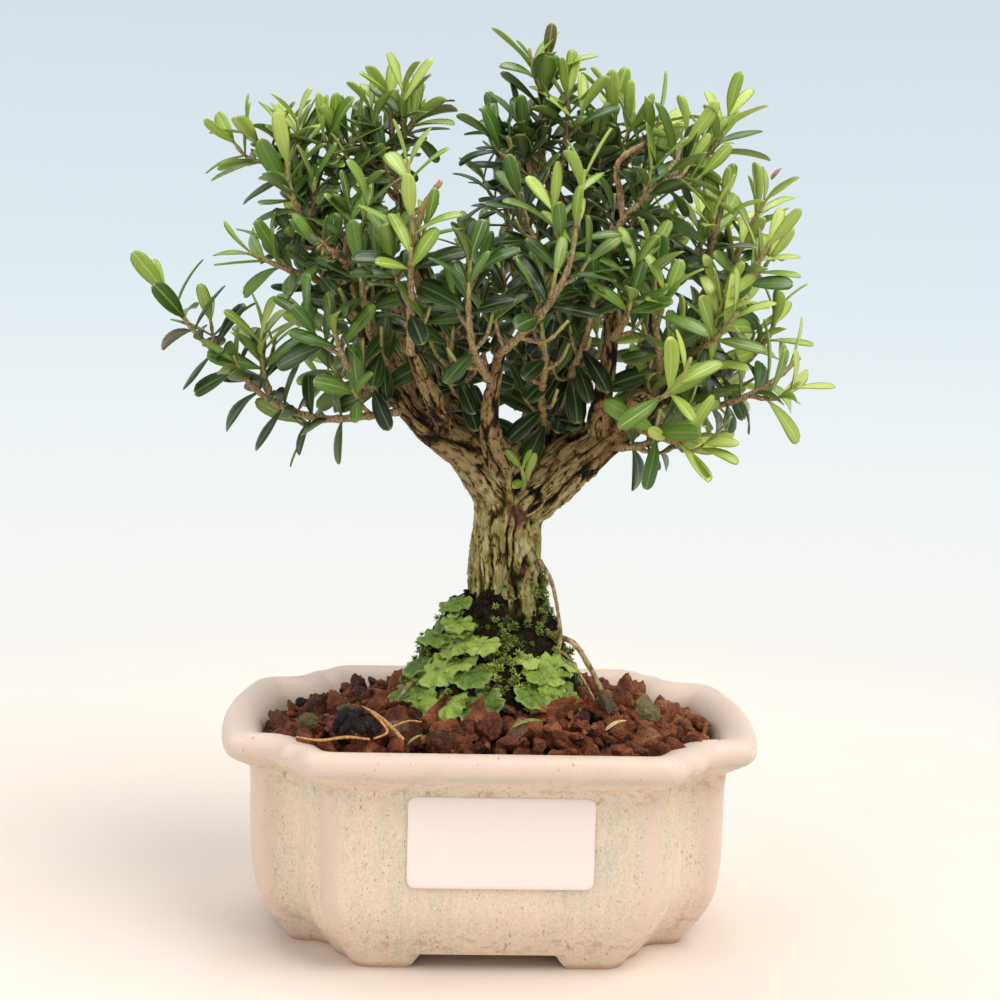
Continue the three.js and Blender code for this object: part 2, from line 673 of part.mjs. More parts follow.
// Leafy shoots, each a route of [x, y, z] from its limb to its tip; young ones are bright green
const SHOOTS = {
  left_low: {
    route: [
      [-24, -11, 152], [-35, -13, 150], [-50, -14, 149], [-64, -14, 154],
      [-73, -12, 162], [-84, -10, 171], [-95, -8, 185],
    ],
    fork: [[-63, -14, 153.5], [-66, -10, 162], [-66, -7, 172]],
  },
  left_front: { route: [[-30, -10, 156], [-38, -28, 160], [-42, -34, 167], [-45, -37, 176]] },
  left_outer_top: { route: [[-46, 0, 196], [-56, -2, 211], [-64, -4, 220], [-71, -4, 228]] },
  left_outer_front: { route: [[-47, -1, 197], [-54, -14, 203], [-58, -16, 211], [-59, -16, 219]] },
  left_crown: { route: [[-29, 5, 214], [-31, 3, 226], [-32, 0, 238]] },
  front_left_long: { route: [[-24, -39, 168], [-24, -46, 181], [-24, -50, 191], [-24, -52, 203]] },
  front_left_tip: { route: [[-24, -52.2, 204.4], [-25, -51, 211], [-25, -50, 217]], young: true },
  front_middle: { route: [[-2, -31, 160], [-7, -42, 168], [-9, -49, 178], [-9, -50, 194]] },
  front_centre_long: {
    route: [[-1, -36, 168], [5, -46, 174], [11, -51, 181], [16, -52, 191], [18, -50, 202]],
  },
  front_centre_tip: { route: [[18.3, -49.7, 203.4], [19, -48, 210], [20, -46, 216]], young: true },
  apex: { route: [[12, 0, 218], [11, 0, 232], [12, 0, 251]] },
  crown_front: { route: [[15, 0, 212], [6, -8, 218], [1, -12, 228]] },
  crown_right: { route: [[22, 2, 200], [28, 5, 219], [32, 5, 232], [32, 5, 241]] },
  right_front_long: {
    route: [[29, -29, 180], [27, -32, 194], [32, -31, 205], [43, -27, 216], [50, -21, 230]],
  },
  right_top: { route: [[59, -6, 186], [58, -13, 194], [59, -17, 203], [61, -18, 213]] },
  right_outer_top: { route: [[60, -6, 186], [67, -1, 196], [72, 0, 206], [76, 0, 214]] },
  right_outer: { route: [[57, -4, 179], [64, -15, 185], [69, -20, 193], [74, -21, 201]] },
  right_side: { route: [[49, -2, 164], [62, -4, 163], [71, -9, 168], [77, -10, 176], [78, -10, 183]] },
  right_low: {
    route: [
      [32, -9, 142], [43, -14, 144], [56, -17, 153],
      [67, -19, 157], [76, -19, 162], [84, -17, 169],
    ],
  },
  right_low_front: { route: [[38, -14, 149], [46, -27, 146], [54, -36, 147]] },
  right_front_bright: {
    route: [[39, -42, 157], [42, -51, 159], [45, -56, 163], [47, -59, 169]],
    young: true,
  },
  crotch_sprout: { route: [[8, -8, 129], [8, -14, 132], [7, -17, 137]], young: true, small: true },
  left_inner_front: { route: [[-29, -10, 160], [-35, -24, 172], [-37, -32, 183], [-38, -34, 193]] },
  left_outer_low: { route: [[-43, -1, 183], [-50, -14, 187], [-59, -20, 190], [-69, -21, 194]] },
  left_middle: { route: [[-37, -6, 174], [-40, -18, 184], [-42, -26, 194], [-41, -27, 207]] },
  inner_front: { route: [[-5, 5, 147], [-9, -12, 157], [-13, -24, 166], [-15, -29, 178]] },
  centre_front: { route: [[15, 1, 145], [12, -18, 156], [12, -32, 166], [10, -40, 177]] },
  centre_right: { route: [[20, 4, 156], [21, -16, 165], [23, -29, 173], [24, -38, 184]] },
  upper_front: { route: [[22, 5, 171], [16, -14, 184], [10, -26, 195], [4, -29, 210]] },
  upper_right: { route: [[23, 3, 186], [30, -9, 195], [36, -12, 204], [42, -10, 216]] },
  right_inner_front: { route: [[44, -8, 157], [44, -24, 166], [41, -34, 177], [40, -35, 191]] },
  right_middle: { route: [[51, -4, 167], [54, -22, 170], [58, -31, 174], [63, -35, 181]] },
  back_left_outer: { route: [[-25, 32, 167], [-38, 46, 172], [-50, 52, 174], [-62, 52, 180]] },
  back_left_upper: { route: [[-31, 41, 182], [-40, 50, 192], [-48, 54, 200], [-56, 52, 210]] },
  back_left_top: { route: [[-36, 45, 196], [-38, 42, 208], [-40, 36, 222]] },
  back_left_low: { route: [[-37, 46, 159], [-46, 58, 158], [-56, 63, 164]] },
  back_inner_left: { route: [[-17, 16, 152], [-20, 38, 162], [-18, 56, 172], [-14, 66, 184]] },
  back_middle: { route: [[13, 41, 171], [8, 56, 180], [2, 64, 190], [-2, 64, 202]] },
  back_top: { route: [[5, 51, 203], [3, 44, 214], [4, 34, 228]] },
  back_right_inner: { route: [[15, 28, 155], [20, 46, 163], [23, 60, 172], [22, 68, 184]] },
  back_right_top: { route: [[51, 47, 197], [48, 42, 210], [44, 34, 224]] },
  back_right_upper: { route: [[51, 44, 184], [60, 50, 194], [66, 50, 204], [70, 44, 213]] },
  back_right_outer: { route: [[46, 33, 168], [58, 42, 172], [68, 46, 177], [78, 44, 184]] },
  back_right_low: { route: [[40, 19, 154], [52, 32, 154], [64, 38, 157], [74, 38, 164]] },
  back_low: { route: [[31, 54, 163], [36, 64, 168], [42, 68, 176]] },
  top_middle: { route: [[22, 2, 197], [26, 14, 212], [27, 18, 226]] },
  top_left: { route: [[-28, 7, 210], [-38, 14, 220], [-44, 16, 230]] },
};

// A leaf: narrow at its foot, widest past its middle, with a blunt end, and keeled below.
// Each section has its place along the leaf, its width and its droop as shares, and its thickness.
const LEAF_WIDEST = { place: 0.62, share: 1, droop: -0.02, thickness: 0.8 };
const LEAF_END = { place: 0.98, share: 0.56, droop: 0.03, thickness: 0.65 };

function leafBody(root, along, face, length, width) {
  const across = face.clone().cross(along).normalize();
  const section = ({ place, share, droop, thickness }) => {
    const middle = root.clone().addScaledVector(along, place * length).addScaledVector(face, -droop * length);
    const half = (share * width) / 2;
    return [
      middle.clone().addScaledVector(across, half),
      middle.clone().addScaledVector(across, -half),
      middle.clone().addScaledVector(face, -thickness),
    ];
  };
  return skin([[root], section(LEAF_WIDEST), section(LEAF_END)]);
}

// Leaves stand in opposite pairs, each pair a quarter turn from the last. The tip keeps its pair,
// and below it one leaf of each pair stands, the four sides taking turns.
function leavesOf(route, small, seed) {
  const way = trace(route);
  const leaves = [];
  const last = Math.floor((way.length - BARE_STEM) / PAIR_STEP);
  for (let pair = 1; pair <= last; pair++) {
    const frame = at(way, Math.min(BARE_STEM + pair * PAIR_STEP, way.length - TIP_CLEARANCE));
    const fromTip = (last - pair) / last;
    for (const half of [0, 1]) {
      if (pair < last && half !== Math.floor(pair / 2) % 2) continue;
      const key = seed * 200 + pair * 2 + half;
      const turn = (pair % 2) * 90 + half * 180 + TURN_SCATTER * (jitter(key, 12) - 0.5) + seed * SHOOT_TURN;
      const lean = pair === last ? TIP_SPREAD : mix(...LEAF_SPREAD, fromTip);
      const spread = lean + SPREAD_SCATTER * (jitter(key, 13) - 0.5);
      const angle = THREE.MathUtils.degToRad(turn);
      const open = THREE.MathUtils.degToRad(spread);
      const outward = frame.normal.clone().multiplyScalar(Math.cos(angle));
      outward.addScaledVector(frame.side, Math.sin(angle));
      const along = frame.tangent.clone().multiplyScalar(Math.cos(open));
      along.addScaledVector(outward, Math.sin(open));
      const face = frame.tangent.clone().multiplyScalar(Math.sin(open));
      face.addScaledVector(outward, -Math.cos(open));
      const size = (small ? SPROUT_LEAF_SIZE : 1) * (pair === last ? TIP_LEAF_SIZE : 1);
      const length = LEAF_LENGTH * size * mix(...LEAF_SIZE_RANGE, jitter(key, 14));
      leaves.push(leafBody(frame.point, along, face, length, length * LEAF_WIDTH_SHARE));
    }
  }
  return leaves;
}

const tapered = (route) => route.map((point, i) => [...point, mix(...STEM_RADIUS, i / (route.length - 1))]);

const boxesMeet = (a, b, margin) =>
  [0, 1, 2].every((k) => a.min[k] - margin < b.max[k] && b.min[k] - margin < a.max[k]);

// Stems first, then their leaves; a leaf that would touch another shoot or a limb is left out
function makeShoots(woodGrown) {
  const names = Object.keys(SHOOTS);
  const stems = names.map((name) => {
    const { route, fork } = SHOOTS[name];
    const stem = bar(tapered(route), STEM_SIDES, STEM_STEP);
    const whole = fork ? stem.add(bar(tapered(fork), STEM_SIDES, STEM_STEP)) : stem;
    return largest(whole.subtract(woodGrown));
  });
  const kept = stems.map((stem) => [{ body: stem, box: stem.boundingBox() }]);
  const woodBox = woodGrown.boundingBox();
  names.forEach((name, shoot) => {
    const { route, fork, small } = SHOOTS[name];
    const leaves = leavesOf(route, small, shoot);
    if (fork) leaves.push(...leavesOf(fork, small, shoot + names.length));
    for (const body of leaves) {
      const box = body.boundingBox();
      const others = kept.filter((_, i) => i !== shoot).flat();
      const near = others.filter((other) => boxesMeet(box, other.box, GAP));
      const crowded = near.some((other) => body.minGap(other.body, 1) < GAP);
      const inWood = boxesMeet(box, woodBox, 0) && body.minGap(woodGrown, 1) <= 0;
      if (!crowded && !inWood) kept[shoot].push({ body, box });
    }
  });
  const whole = kept.map((pieces) => largest(wasm.Manifold.union(pieces.map((piece) => piece.body))));
  return new Map(names.map((name, i) => [name, whole[i]]));
}

function mesh(name, body, look) {
  const { vertProperties, triVerts, numProp, numVert } = largest(body.simplify(SHORTEST_EDGE)).getMesh();
  const position = new Float32Array(numVert * 3);
  for (let i = 0; i < numVert; i++) {
    position.set(vertProperties.subarray(i * numProp, i * numProp + 3), 3 * i);
  }
  const geometry = new THREE.BufferGeometry();
  geometry.setAttribute("position", new THREE.BufferAttribute(position, 3));
  geometry.setIndex(new THREE.BufferAttribute(triVerts, 1));
  geometry.computeVertexNormals();
  const material = new THREE.MeshStandardMaterial({ ...look, metalness: 0, flatShading: true });
  const item = new THREE.Mesh(geometry, material);
  item.name = name;
  return item;
}

const wood = makeWood(0);
const woodGrown = makeWood(GAP);
const moundGrown = moundBody(GAP);
const mound = largest(moundBody(0).subtract(woodGrown));
const soil = makeSoil([woodGrown, moundGrown]);
const soilRoom = makeSoil([]).translate(0, 0, GAP);
const liverwort = ["left", "right"].map((side) => {
  const patch = makeLiverwort(side, 0, [moundGrown, woodGrown, soilRoom]);
  return mesh("liverwort_" + side, patch, COLOURS.liverwort);
});
const shoots = [...makeShoots(woodGrown)].map(([name, body]) => {
  return mesh("shoot_" + name, body, SHOOTS[name].young ? COLOURS.young : COLOURS.leaf);
});

const bonsai = new THREE.Group();
bonsai.add(
  mesh("pot", makePot(), COLOURS.glaze),
  mesh("drain_screen_left", makeScreen(-1), COLOURS.screen),
  mesh("drain_screen_right", makeScreen(1), COLOURS.screen),
  mesh("label", makeLabel(), COLOURS.label),
  mesh("soil", soil, COLOURS.lava),
  mesh("trunk", wood, COLOURS.bark),
  mesh("moss_mound", mound, COLOURS.peat),
  ...liverwort,
  ...shoots,
);

// The origin is the middle of the underside of the whole plant's box
const reach = new THREE.Box3().setFromObject(bonsai);
const middle = reach.getCenter(V());
bonsai.children.forEach((item) => item.position.set(-middle.x, -middle.y, -reach.min.z));

export default bonsai;
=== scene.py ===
# A boxwood bonsai in its glazed pot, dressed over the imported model.
# Shapes are worked out in millimetres with the pot's middle as the origin, +Z up and the front
# towards -Y, and turned into metres in the row frame when a piece is made.
import math

import bmesh
import bpy
import numpy as np
from mathutils import Matrix, Vector


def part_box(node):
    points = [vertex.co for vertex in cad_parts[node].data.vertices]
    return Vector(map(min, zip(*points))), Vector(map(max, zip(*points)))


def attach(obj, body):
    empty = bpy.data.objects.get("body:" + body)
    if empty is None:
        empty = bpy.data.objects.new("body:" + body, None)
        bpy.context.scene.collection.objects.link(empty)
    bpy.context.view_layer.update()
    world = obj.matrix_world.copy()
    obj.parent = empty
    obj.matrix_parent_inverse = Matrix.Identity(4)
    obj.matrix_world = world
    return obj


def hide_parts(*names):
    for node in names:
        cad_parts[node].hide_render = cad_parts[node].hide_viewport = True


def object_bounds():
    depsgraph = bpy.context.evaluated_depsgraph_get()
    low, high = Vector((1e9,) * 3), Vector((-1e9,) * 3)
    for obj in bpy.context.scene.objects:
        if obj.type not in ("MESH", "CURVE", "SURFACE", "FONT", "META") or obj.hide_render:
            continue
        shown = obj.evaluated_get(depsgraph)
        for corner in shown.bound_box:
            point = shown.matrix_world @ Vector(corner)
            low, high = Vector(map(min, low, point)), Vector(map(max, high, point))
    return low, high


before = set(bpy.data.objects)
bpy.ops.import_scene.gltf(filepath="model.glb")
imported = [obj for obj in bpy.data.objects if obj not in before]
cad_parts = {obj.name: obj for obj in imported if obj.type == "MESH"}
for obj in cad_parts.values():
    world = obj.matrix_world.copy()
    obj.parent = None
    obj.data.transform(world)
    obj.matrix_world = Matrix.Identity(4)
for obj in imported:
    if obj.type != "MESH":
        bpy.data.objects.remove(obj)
cad_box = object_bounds()

MM = 0.001
pot_low, pot_high = (np.array(corner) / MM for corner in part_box("pot"))
POT_CENTRE = np.array([(pot_low[0] + pot_high[0]) / 2, (pot_low[1] + pot_high[1]) / 2, pot_low[2]])
BOX_LOW, BOX_HIGH = (np.array(corner) / MM - POT_CENTRE for corner in cad_box)

# The pot's outline and the heights that the soil lies at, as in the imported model
RIM_HALF_WIDTH = 77.3
RIM_HALF_WIDTH_AT_CORNER = 72.5
RIM_HALF_DEPTH = 56.5
RIM_HEIGHT = 64.5
FRONT_PANEL_HALF = 52.7
SIDE_PANEL_HALF = 38
NOTCH_HALF_WIDTH = 57.2
LIP_OVERHANG = 8
WALL = 3.6
FOOT_INSET = 17.6
FOOT_HEIGHT = 4.9
FOOT_THICKNESS = 8
FLOOR_TOP = 10
FRONT_ARCH = (22.6, 16.8)
SIDE_ARCH = (11.4, 7.6)
DRAIN_RADIUS = 6.5
DRAIN_SPACING = 46
DRAW_IN = 0.83
CORNER_LOSS = 0.1
FRONT_CORNER = 7.5
NOTCH_CORNER = 9.6
SIDE_CORNER = 5.4
SOIL_EDGE_HEIGHT = 56.5
SOIL_CROWN_HEIGHT = 66
LABEL = {"width": 50, "height": 25, "corner": 2.4, "centre": (2.6, 38.8)}

# The pot's wall as inset from the rim and height, from the foot up the outside and down inside
POT_OUTSIDE = [
    (FOOT_INSET, 0), (FOOT_INSET - 2.2, 4.2), (FOOT_INSET - 5.4, 9), (LIP_OVERHANG + 1.8, 14.5),
    (LIP_OVERHANG + 0.4, 20), (LIP_OVERHANG, 30), (LIP_OVERHANG, 51.6), (LIP_OVERHANG - 1.8, 53.8),
    (1.8, 56.6), (0, 59.4), (0.6, RIM_HEIGHT - 1.8), (3.2, RIM_HEIGHT),
]
POT_INSIDE = [
    (7.6, RIM_HEIGHT - 1.6), (10.6, RIM_HEIGHT - 5.2), (LIP_OVERHANG + WALL, 54),
    (LIP_OVERHANG + WALL + 0.4, 22), (LIP_OVERHANG + WALL + 5, FLOOR_TOP),
]

# The trunk and limbs, each a route of x, y, z and radius
TRUNK = [
    (4, 0, 56, 15), (4.5, 0, 68, 15.5), (4.5, 0, 80, 12.5), (4, 0, 92, 10.8), (4, 0, 106, 10.1),
    (4.2, 0, 118, 9.7), (5, 0, 127, 10.2), (6, 0, 136, 10.4),
]
LIMBS = {
    "left": [
        (3, -1, 127, 8.5), (-6, -5, 139, 7), (-17, -9, 147, 5.8), (-25, -9, 155, 5.2), (-31, -8, 163, 4.8),
        (-37, -5, 174, 3.6), (-44, -1, 185, 3.6), (-47, 0, 198, 2.4), (-49, 2, 210, 1.4),
    ],
    "left_inner": [
        (2, 3, 132, 6.5), (-4, 9, 145, 4.8), (-12, 14, 158, 3.9), (-18, 15, 174, 3.1), (-23, 12, 192, 2.4),
        (-27, 8, 207, 1.8), (-29, 5, 217, 1.2),
    ],
    "left_front": [
        (-15, -8, 146, 3.8), (-17, -23, 154, 2.7), (-21, -33, 162, 2.1), (-24, -39, 170, 1.5),
    ],
    "left_back": [
        (-8, -4, 141, 5.2), (-16, 14, 152, 3.9), (-24, 31, 166, 3.1), (-31, 41, 183, 2.4),
        (-36, 45, 198, 1.6),
    ],
    "left_low": [
        (-16, 14, 152, 2.8), (-27, 32, 155, 2.1), (-38, 47, 160, 1.4),
    ],
    "front_middle": [
        (3, -4, 133, 4.5), (-2, -20, 147, 2.7), (-2, -31, 159, 2), (0, -37, 170, 1.5),
    ],
    "centre": [
        (9, 2, 130, 8.6), (15, 5, 143, 6.6), (20, 8, 155, 5.2), (22, 8, 169, 4.2), (23, 5, 184, 3.4),
        (22, 2, 198, 2.7), (17, 0, 210, 2), (12, 0, 221, 1.3),
    ],
    "centre_back": [
        (11, 7, 138, 5.5), (14, 27, 154, 4), (13, 41, 172, 3), (8, 49, 190, 2.2), (5, 51, 205, 1.4),
    ],
    "right": [
        (8, -1, 126, 9), (19, -4, 135, 7.4), (27, -6, 142, 6.5), (36, -6, 149, 5.8), (43, -5, 156, 5),
        (49, -3, 164, 4), (54, -1, 173, 3.2), (58, -4, 182, 2.6), (60, -7, 189, 1.6),
    ],
    "right_back": [
        (26, -3, 141, 5.2), (40, 19, 154, 3.6), (47, 34, 169, 2.9), (51, 44, 185, 2.2), (51, 47, 199, 1.5),
    ],
    "right_front": [
        (35, -7, 148, 4), (36, -21, 154, 2.6), (37, -34, 157, 2), (39, -43, 157, 1.5),
    ],
    "right_middle": [
        (29, -6, 143, 4.2), (29, -17, 157, 2.8), (30, -25, 171, 2.1), (29, -29, 182, 1.6),
    ],
    "low_back": [
        (22, 0, 138, 4.5), (24, 22, 146, 3), (28, 42, 154, 2.2), (31, 55, 164, 1.5),
    ],
}
AERIAL_ROOTS = [
    [
        (8, -3, 114.5, 1.2), (13, -4.8, 109, 0.95), (16.8, -6.7, 103.2, 0.75), (19.1, -8.6, 93.7, 0.65),
        (19.7, -10, 86, 0.7), (17.7, -9.6, 78.4, 0.8), (13.4, -7.6, 70.7, 0.9),
    ],
    [
        (8.6, -2.9, 88.9, 1.3), (16.3, -6.7, 87.5, 1.05), (21, -8.6, 86.6, 0.95), (24.5, -9.8, 84.7, 0.95),
        (28.1, -10.5, 79.3, 0.95), (31, -11.1, 74, 0.9), (33.5, -11.5, 67.9, 0.8), (35.4, -11.9, 58, 0.8),
    ],
    [
        (8.6, -3.8, 84.1, 0.9), (16.3, -8.6, 83.7, 0.6), (21.5, -11.1, 82.2, 0.5), (25, -13, 77.8, 0.45),
        (27.9, -14.3, 73.2, 0.45), (30.4, -15.3, 67.9, 0.4), (31.9, -15.7, 58, 0.4),
    ],
    [
        (-2.9, -2.9, 80.3, 1), (-13.4, -9.2, 79, 0.9), (-20.6, -13, 75.5, 0.75), (-24.5, -14, 71.7, 0.65),
        (-27.3, -13.8, 66.9, 0.6), (-28.7, -13.4, 58, 0.5),
    ],
]
# The mound's rings: height, half width, half depth, and how far they are moved right and back
MOUND = np.array([
    (60, 25, 23, 1, 0), (68, 26, 23.5, 1, -1), (75, 24, 20.5, 1, -1), (82, 20.5, 16.5, 1.5, 0),
    (89, 16.5, 14, 2, 0), (96, 12.5, 12, 3, 0), (99, 10.8, 10.8, 4, 0),
])
# Liverwort plates: direction in degrees, height and radius
LIVERWORT = {
    "left": [
        (201, 71, 6.4), (219, 70, 7.2), (240, 69.5, 7.4), (262, 70, 6.6), (206, 78.5, 6.4), (228, 77.5, 7),
        (252, 77.5, 6.6), (210, 85.5, 6), (233, 85, 6), (257, 85, 5.4), (208, 89.5, 4.9), (230, 90, 5),
        (200, 94, 4.2), (214, 95, 4.4),
    ],
    "right": [
        (292, 72.5, 5.4), (306, 71.5, 5.8), (321, 72.5, 5.4), (299, 78.5, 5.2), (315, 79, 5.4),
        (328, 79, 4.4),
    ],
}

# Leafy shoots, each a route from its limb to its tip, in the model's order
SHOOTS = {
    "left_low": [
        (-24, -11, 152), (-35, -13, 150), (-50, -14, 149), (-64, -14, 154),
        (-73, -12, 162), (-84, -10, 171), (-95, -8, 185),
    ],
    "left_front": [(-30, -10, 156), (-38, -28, 160), (-42, -34, 167), (-45, -37, 176)],
    "left_outer_top": [(-46, 0, 196), (-56, -2, 211), (-64, -4, 220), (-71, -4, 228)],
    "left_outer_front": [(-47, -1, 197), (-54, -14, 203), (-58, -16, 211), (-59, -16, 219)],
    "left_crown": [(-29, 5, 214), (-31, 3, 226), (-32, 0, 238)],
    "front_left_long": [(-24, -39, 168), (-24, -46, 181), (-24, -50, 191), (-24, -52, 203)],
    "front_left_tip": [(-24, -52.2, 204.4), (-25, -51, 211), (-25, -50, 217)],
    "front_middle": [(-2, -31, 160), (-7, -42, 168), (-9, -49, 178), (-9, -50, 194)],
    "front_centre_long": [(-1, -36, 168), (5, -46, 174), (11, -51, 181), (16, -52, 191), (18, -50, 202)],
    "front_centre_tip": [(18.3, -49.7, 203.4), (19, -48, 210), (20, -46, 216)],
    "apex": [(12, 0, 218), (11, 0, 232), (12, 0, 251)],
    "crown_front": [(15, 0, 212), (6, -8, 218), (1, -12, 228)],
    "crown_right": [(22, 2, 200), (28, 5, 219), (32, 5, 232), (32, 5, 241)],
    "right_front_long": [(29, -29, 180), (27, -32, 194), (32, -31, 205), (43, -27, 216), (50, -21, 230)],
    "right_top": [(59, -6, 186), (58, -13, 194), (59, -17, 203), (61, -18, 213)],
    "right_outer_top": [(60, -6, 186), (67, -1, 196), (72, 0, 206), (76, 0, 214)],
    "right_outer": [(57, -4, 179), (64, -15, 185), (69, -20, 193), (74, -21, 201)],
    "right_side": [(49, -2, 164), (62, -4, 163), (71, -9, 168), (77, -10, 176), (78, -10, 183)],
    "right_low": [
        (32, -9, 142), (43, -14, 144), (56, -17, 153), (67, -19, 157), (76, -19, 162), (84, -17, 169),
    ],
    "right_low_front": [(38, -14, 149), (46, -27, 146), (54, -36, 147)],
    "right_front_bright": [(39, -42, 157), (42, -51, 159), (45, -56, 163), (47, -59, 169)],
    "crotch_sprout": [(8, -8, 129), (8, -14, 132), (7, -17, 137)],
    "left_inner_front": [(-29, -10, 160), (-35, -24, 172), (-37, -32, 183), (-38, -34, 193)],
    "left_outer_low": [(-43, -1, 183), (-50, -14, 187), (-59, -20, 190), (-69, -21, 194)],
    "left_middle": [(-37, -6, 174), (-40, -18, 184), (-42, -26, 194), (-41, -27, 207)],
    "inner_front": [(-5, 5, 147), (-9, -12, 157), (-13, -24, 166), (-15, -29, 178)],
    "centre_front": [(15, 1, 145), (12, -18, 156), (12, -32, 166), (10, -40, 177)],
    "centre_right": [(20, 4, 156), (21, -16, 165), (23, -29, 173), (24, -38, 184)],
    "upper_front": [(22, 5, 171), (16, -14, 184), (10, -26, 195), (4, -29, 210)],
    "upper_right": [(23, 3, 186), (30, -9, 195), (36, -12, 204), (42, -10, 216)],
    "right_inner_front": [(44, -8, 157), (44, -24, 166), (41, -34, 177), (40, -35, 191)],
    "right_middle": [(51, -4, 167), (54, -22, 170), (58, -31, 174), (63, -35, 181)],
    "back_left_outer": [(-25, 32, 167), (-38, 46, 172), (-50, 52, 174), (-62, 52, 180)],
    "back_left_upper": [(-31, 41, 182), (-40, 50, 192), (-48, 54, 200), (-56, 52, 210)],
    "back_left_top": [(-36, 45, 196), (-38, 42, 208), (-40, 36, 222)],
    "back_left_low": [(-37, 46, 159), (-46, 58, 158), (-56, 63, 164)],
    "back_inner_left": [(-17, 16, 152), (-20, 38, 162), (-18, 56, 172), (-14, 66, 184)],
    "back_middle": [(13, 41, 171), (8, 56, 180), (2, 64, 190), (-2, 64, 202)],
    "back_top": [(5, 51, 203), (3, 44, 214), (4, 34, 228)],
    "back_right_inner": [(15, 28, 155), (20, 46, 163), (23, 60, 172), (22, 68, 184)],
    "back_right_top": [(51, 47, 197), (48, 42, 210), (44, 34, 224)],
    "back_right_upper": [(51, 44, 184), (60, 50, 194), (66, 50, 204), (70, 44, 213)],
    "back_right_outer": [(46, 33, 168), (58, 42, 172), (68, 46, 177), (78, 44, 184)],
    "back_right_low": [(40, 19, 154), (52, 32, 154), (64, 38, 157), (74, 38, 164)],
    "back_low": [(31, 54, 163), (36, 64, 168), (42, 68, 176)],
    "top_middle": [(22, 2, 197), (26, 14, 212), (27, 18, 226)],
    "top_left": [(-28, 7, 210), (-38, 14, 220), (-44, 16, 230)],
}
FORK = [(-63, -14, 153.5), (-66, -10, 162), (-66, -7, 172)]
YOUNG = ("front_left_tip", "front_centre_tip", "right_front_bright", "crotch_sprout")
# Leaf sizes, spacing and bare lengths, in millimetres but for the shares in YOUNG_SIZES
YOUNG_SIZES = {"crotch_sprout": 0.62, "right_front_bright": 0.84}
PAIR_STEP = 4.2
TWIG_PAIR_STEP = 3.9
LEAF_LENGTH = 16.8
BARE_STEM = 3
BARE_TWIG = 1.6
TIP_CLEARANCE = 0.6
SEEDS = {"granules": 11, "moss": 23, "left": 31, "right": 37, "litter": 41, "crumbs": 59}


# Random numbers and noise

def jitter(index, channel):
    """A number from 0 to 1 that depends only on its two numbers."""
    wave = np.sin(index * 127.1 + channel * 311.7) * 43758.5453
    return wave - np.floor(wave)


# Large primes and a word's bits, which turn a cell's place into a number that looks random
PRIMES = (374761393, 668265263, 1274126177, 974711)
WORD = 0xFFFFFFFF


def hashed(cell, channel):
    """A number from 0 to 1 for each whole place."""
    n = sum(cell[..., k] * PRIMES[k] for k in range(3)) + channel * PRIMES[3]
    n = n & WORD
    n = ((n ^ (n >> 13)) * PRIMES[2]) & WORD
    return (n ^ (n >> 16)) / 2.0**32


def hash_of(points):
    """A number from 0 to 1 for each point, by its place to a hundredth of a millimetre."""
    return hashed(np.round(points * 100).astype(int), 7)


def noise(points, channel=0):
    """Smooth noise from -1 to 1."""
    cell = np.floor(points).astype(np.int64)
    f = points - cell
    f = f * f * (3 - 2 * f)
    total = np.zeros(points.shape[:-1])
    for corner in np.ndindex(2, 2, 2):
        weight = np.prod(np.where(np.array(corner) == 1, f, 1 - f), axis=-1)
        total += weight * hashed(cell + np.array(corner), channel)
    return 2 * total - 1


def fractal(points, octaves, channel=0):
    """Noise with finer and weaker noise added to it."""
    return sum(noise(points * 2.0**k + 7.3 * k, channel + k) / 2.0**k for k in range(octaves))


def cells(points, channel=0):
    """The distances to the nearest two of scattered points, and the nearest one's number."""
    base = np.floor(points).astype(np.int64)
    first = np.full(len(points), 9.0)
    second = first.copy()
    key = np.zeros(len(points))
    for offset in np.ndindex(3, 3, 3):
        cell = base + np.array(offset) - 1
        centre = cell + 0.1 + 0.8 * np.stack([hashed(cell, channel + k) for k in range(3)], axis=-1)
        distance = np.linalg.norm(points - centre, axis=-1)
        near = distance < first
        second = np.where(near, first, np.minimum(second, distance))
        key = np.where(near, hashed(cell, channel + 3), key)
        first = np.minimum(first, distance)
    return first, second, key


def ease(value, low, high):
    """0 up to low, 1 from high, and smooth between."""
    t = np.clip((value - low) / (high - low), 0, 1)
    return t * t * (3 - 2 * t)


def mix(a, b, t):
    return a + (b - a) * t


def hill(value, middle, width):
    """1 at the middle, falling to nothing a few widths away."""
    return np.exp(-(((value - middle) / width) ** 2))


def unit(v):
    return v / np.maximum(np.linalg.norm(v, axis=-1, keepdims=True), 1e-9)


def dot(a, b):
    return np.sum(a * b, axis=-1, keepdims=True)


# Ways, rings and meshes

def circle(steps):
    """Even angles once round."""
    return 2 * math.pi * np.arange(steps) / steps


def spokes(normal, side, count):
    """Even directions round each point of a way, from its normals and sides."""
    angle = circle(count)[None, :, None]
    return normal[:, None] * np.cos(angle) + side[:, None] * np.sin(angle)


def placed(name, data):
    """A new object in the scene, of a mesh, a camera or a light."""
    item = bpy.data.objects.new(name, data)
    bpy.context.scene.collection.objects.link(item)
    return item


def applied(item):
    """The mesh of an object with its modifiers applied."""
    bpy.context.view_layer.update()
    return bpy.data.meshes.new_from_object(item.evaluated_get(bpy.context.evaluated_depsgraph_get()))


def read_vectors(mesh, field):
    """A mesh's points or normals, as field says."""
    flat = np.zeros(len(mesh.vertices) * 3, np.float32)
    mesh.vertices.foreach_get(field, flat)
    return flat.reshape(-1, 3)


def set_points(mesh, points):
    """Moves a mesh's points to places in millimetres from the pot's middle."""
    mesh.vertices.foreach_set("co", ((points + POT_CENTRE) * MM).astype(np.float32).ravel())


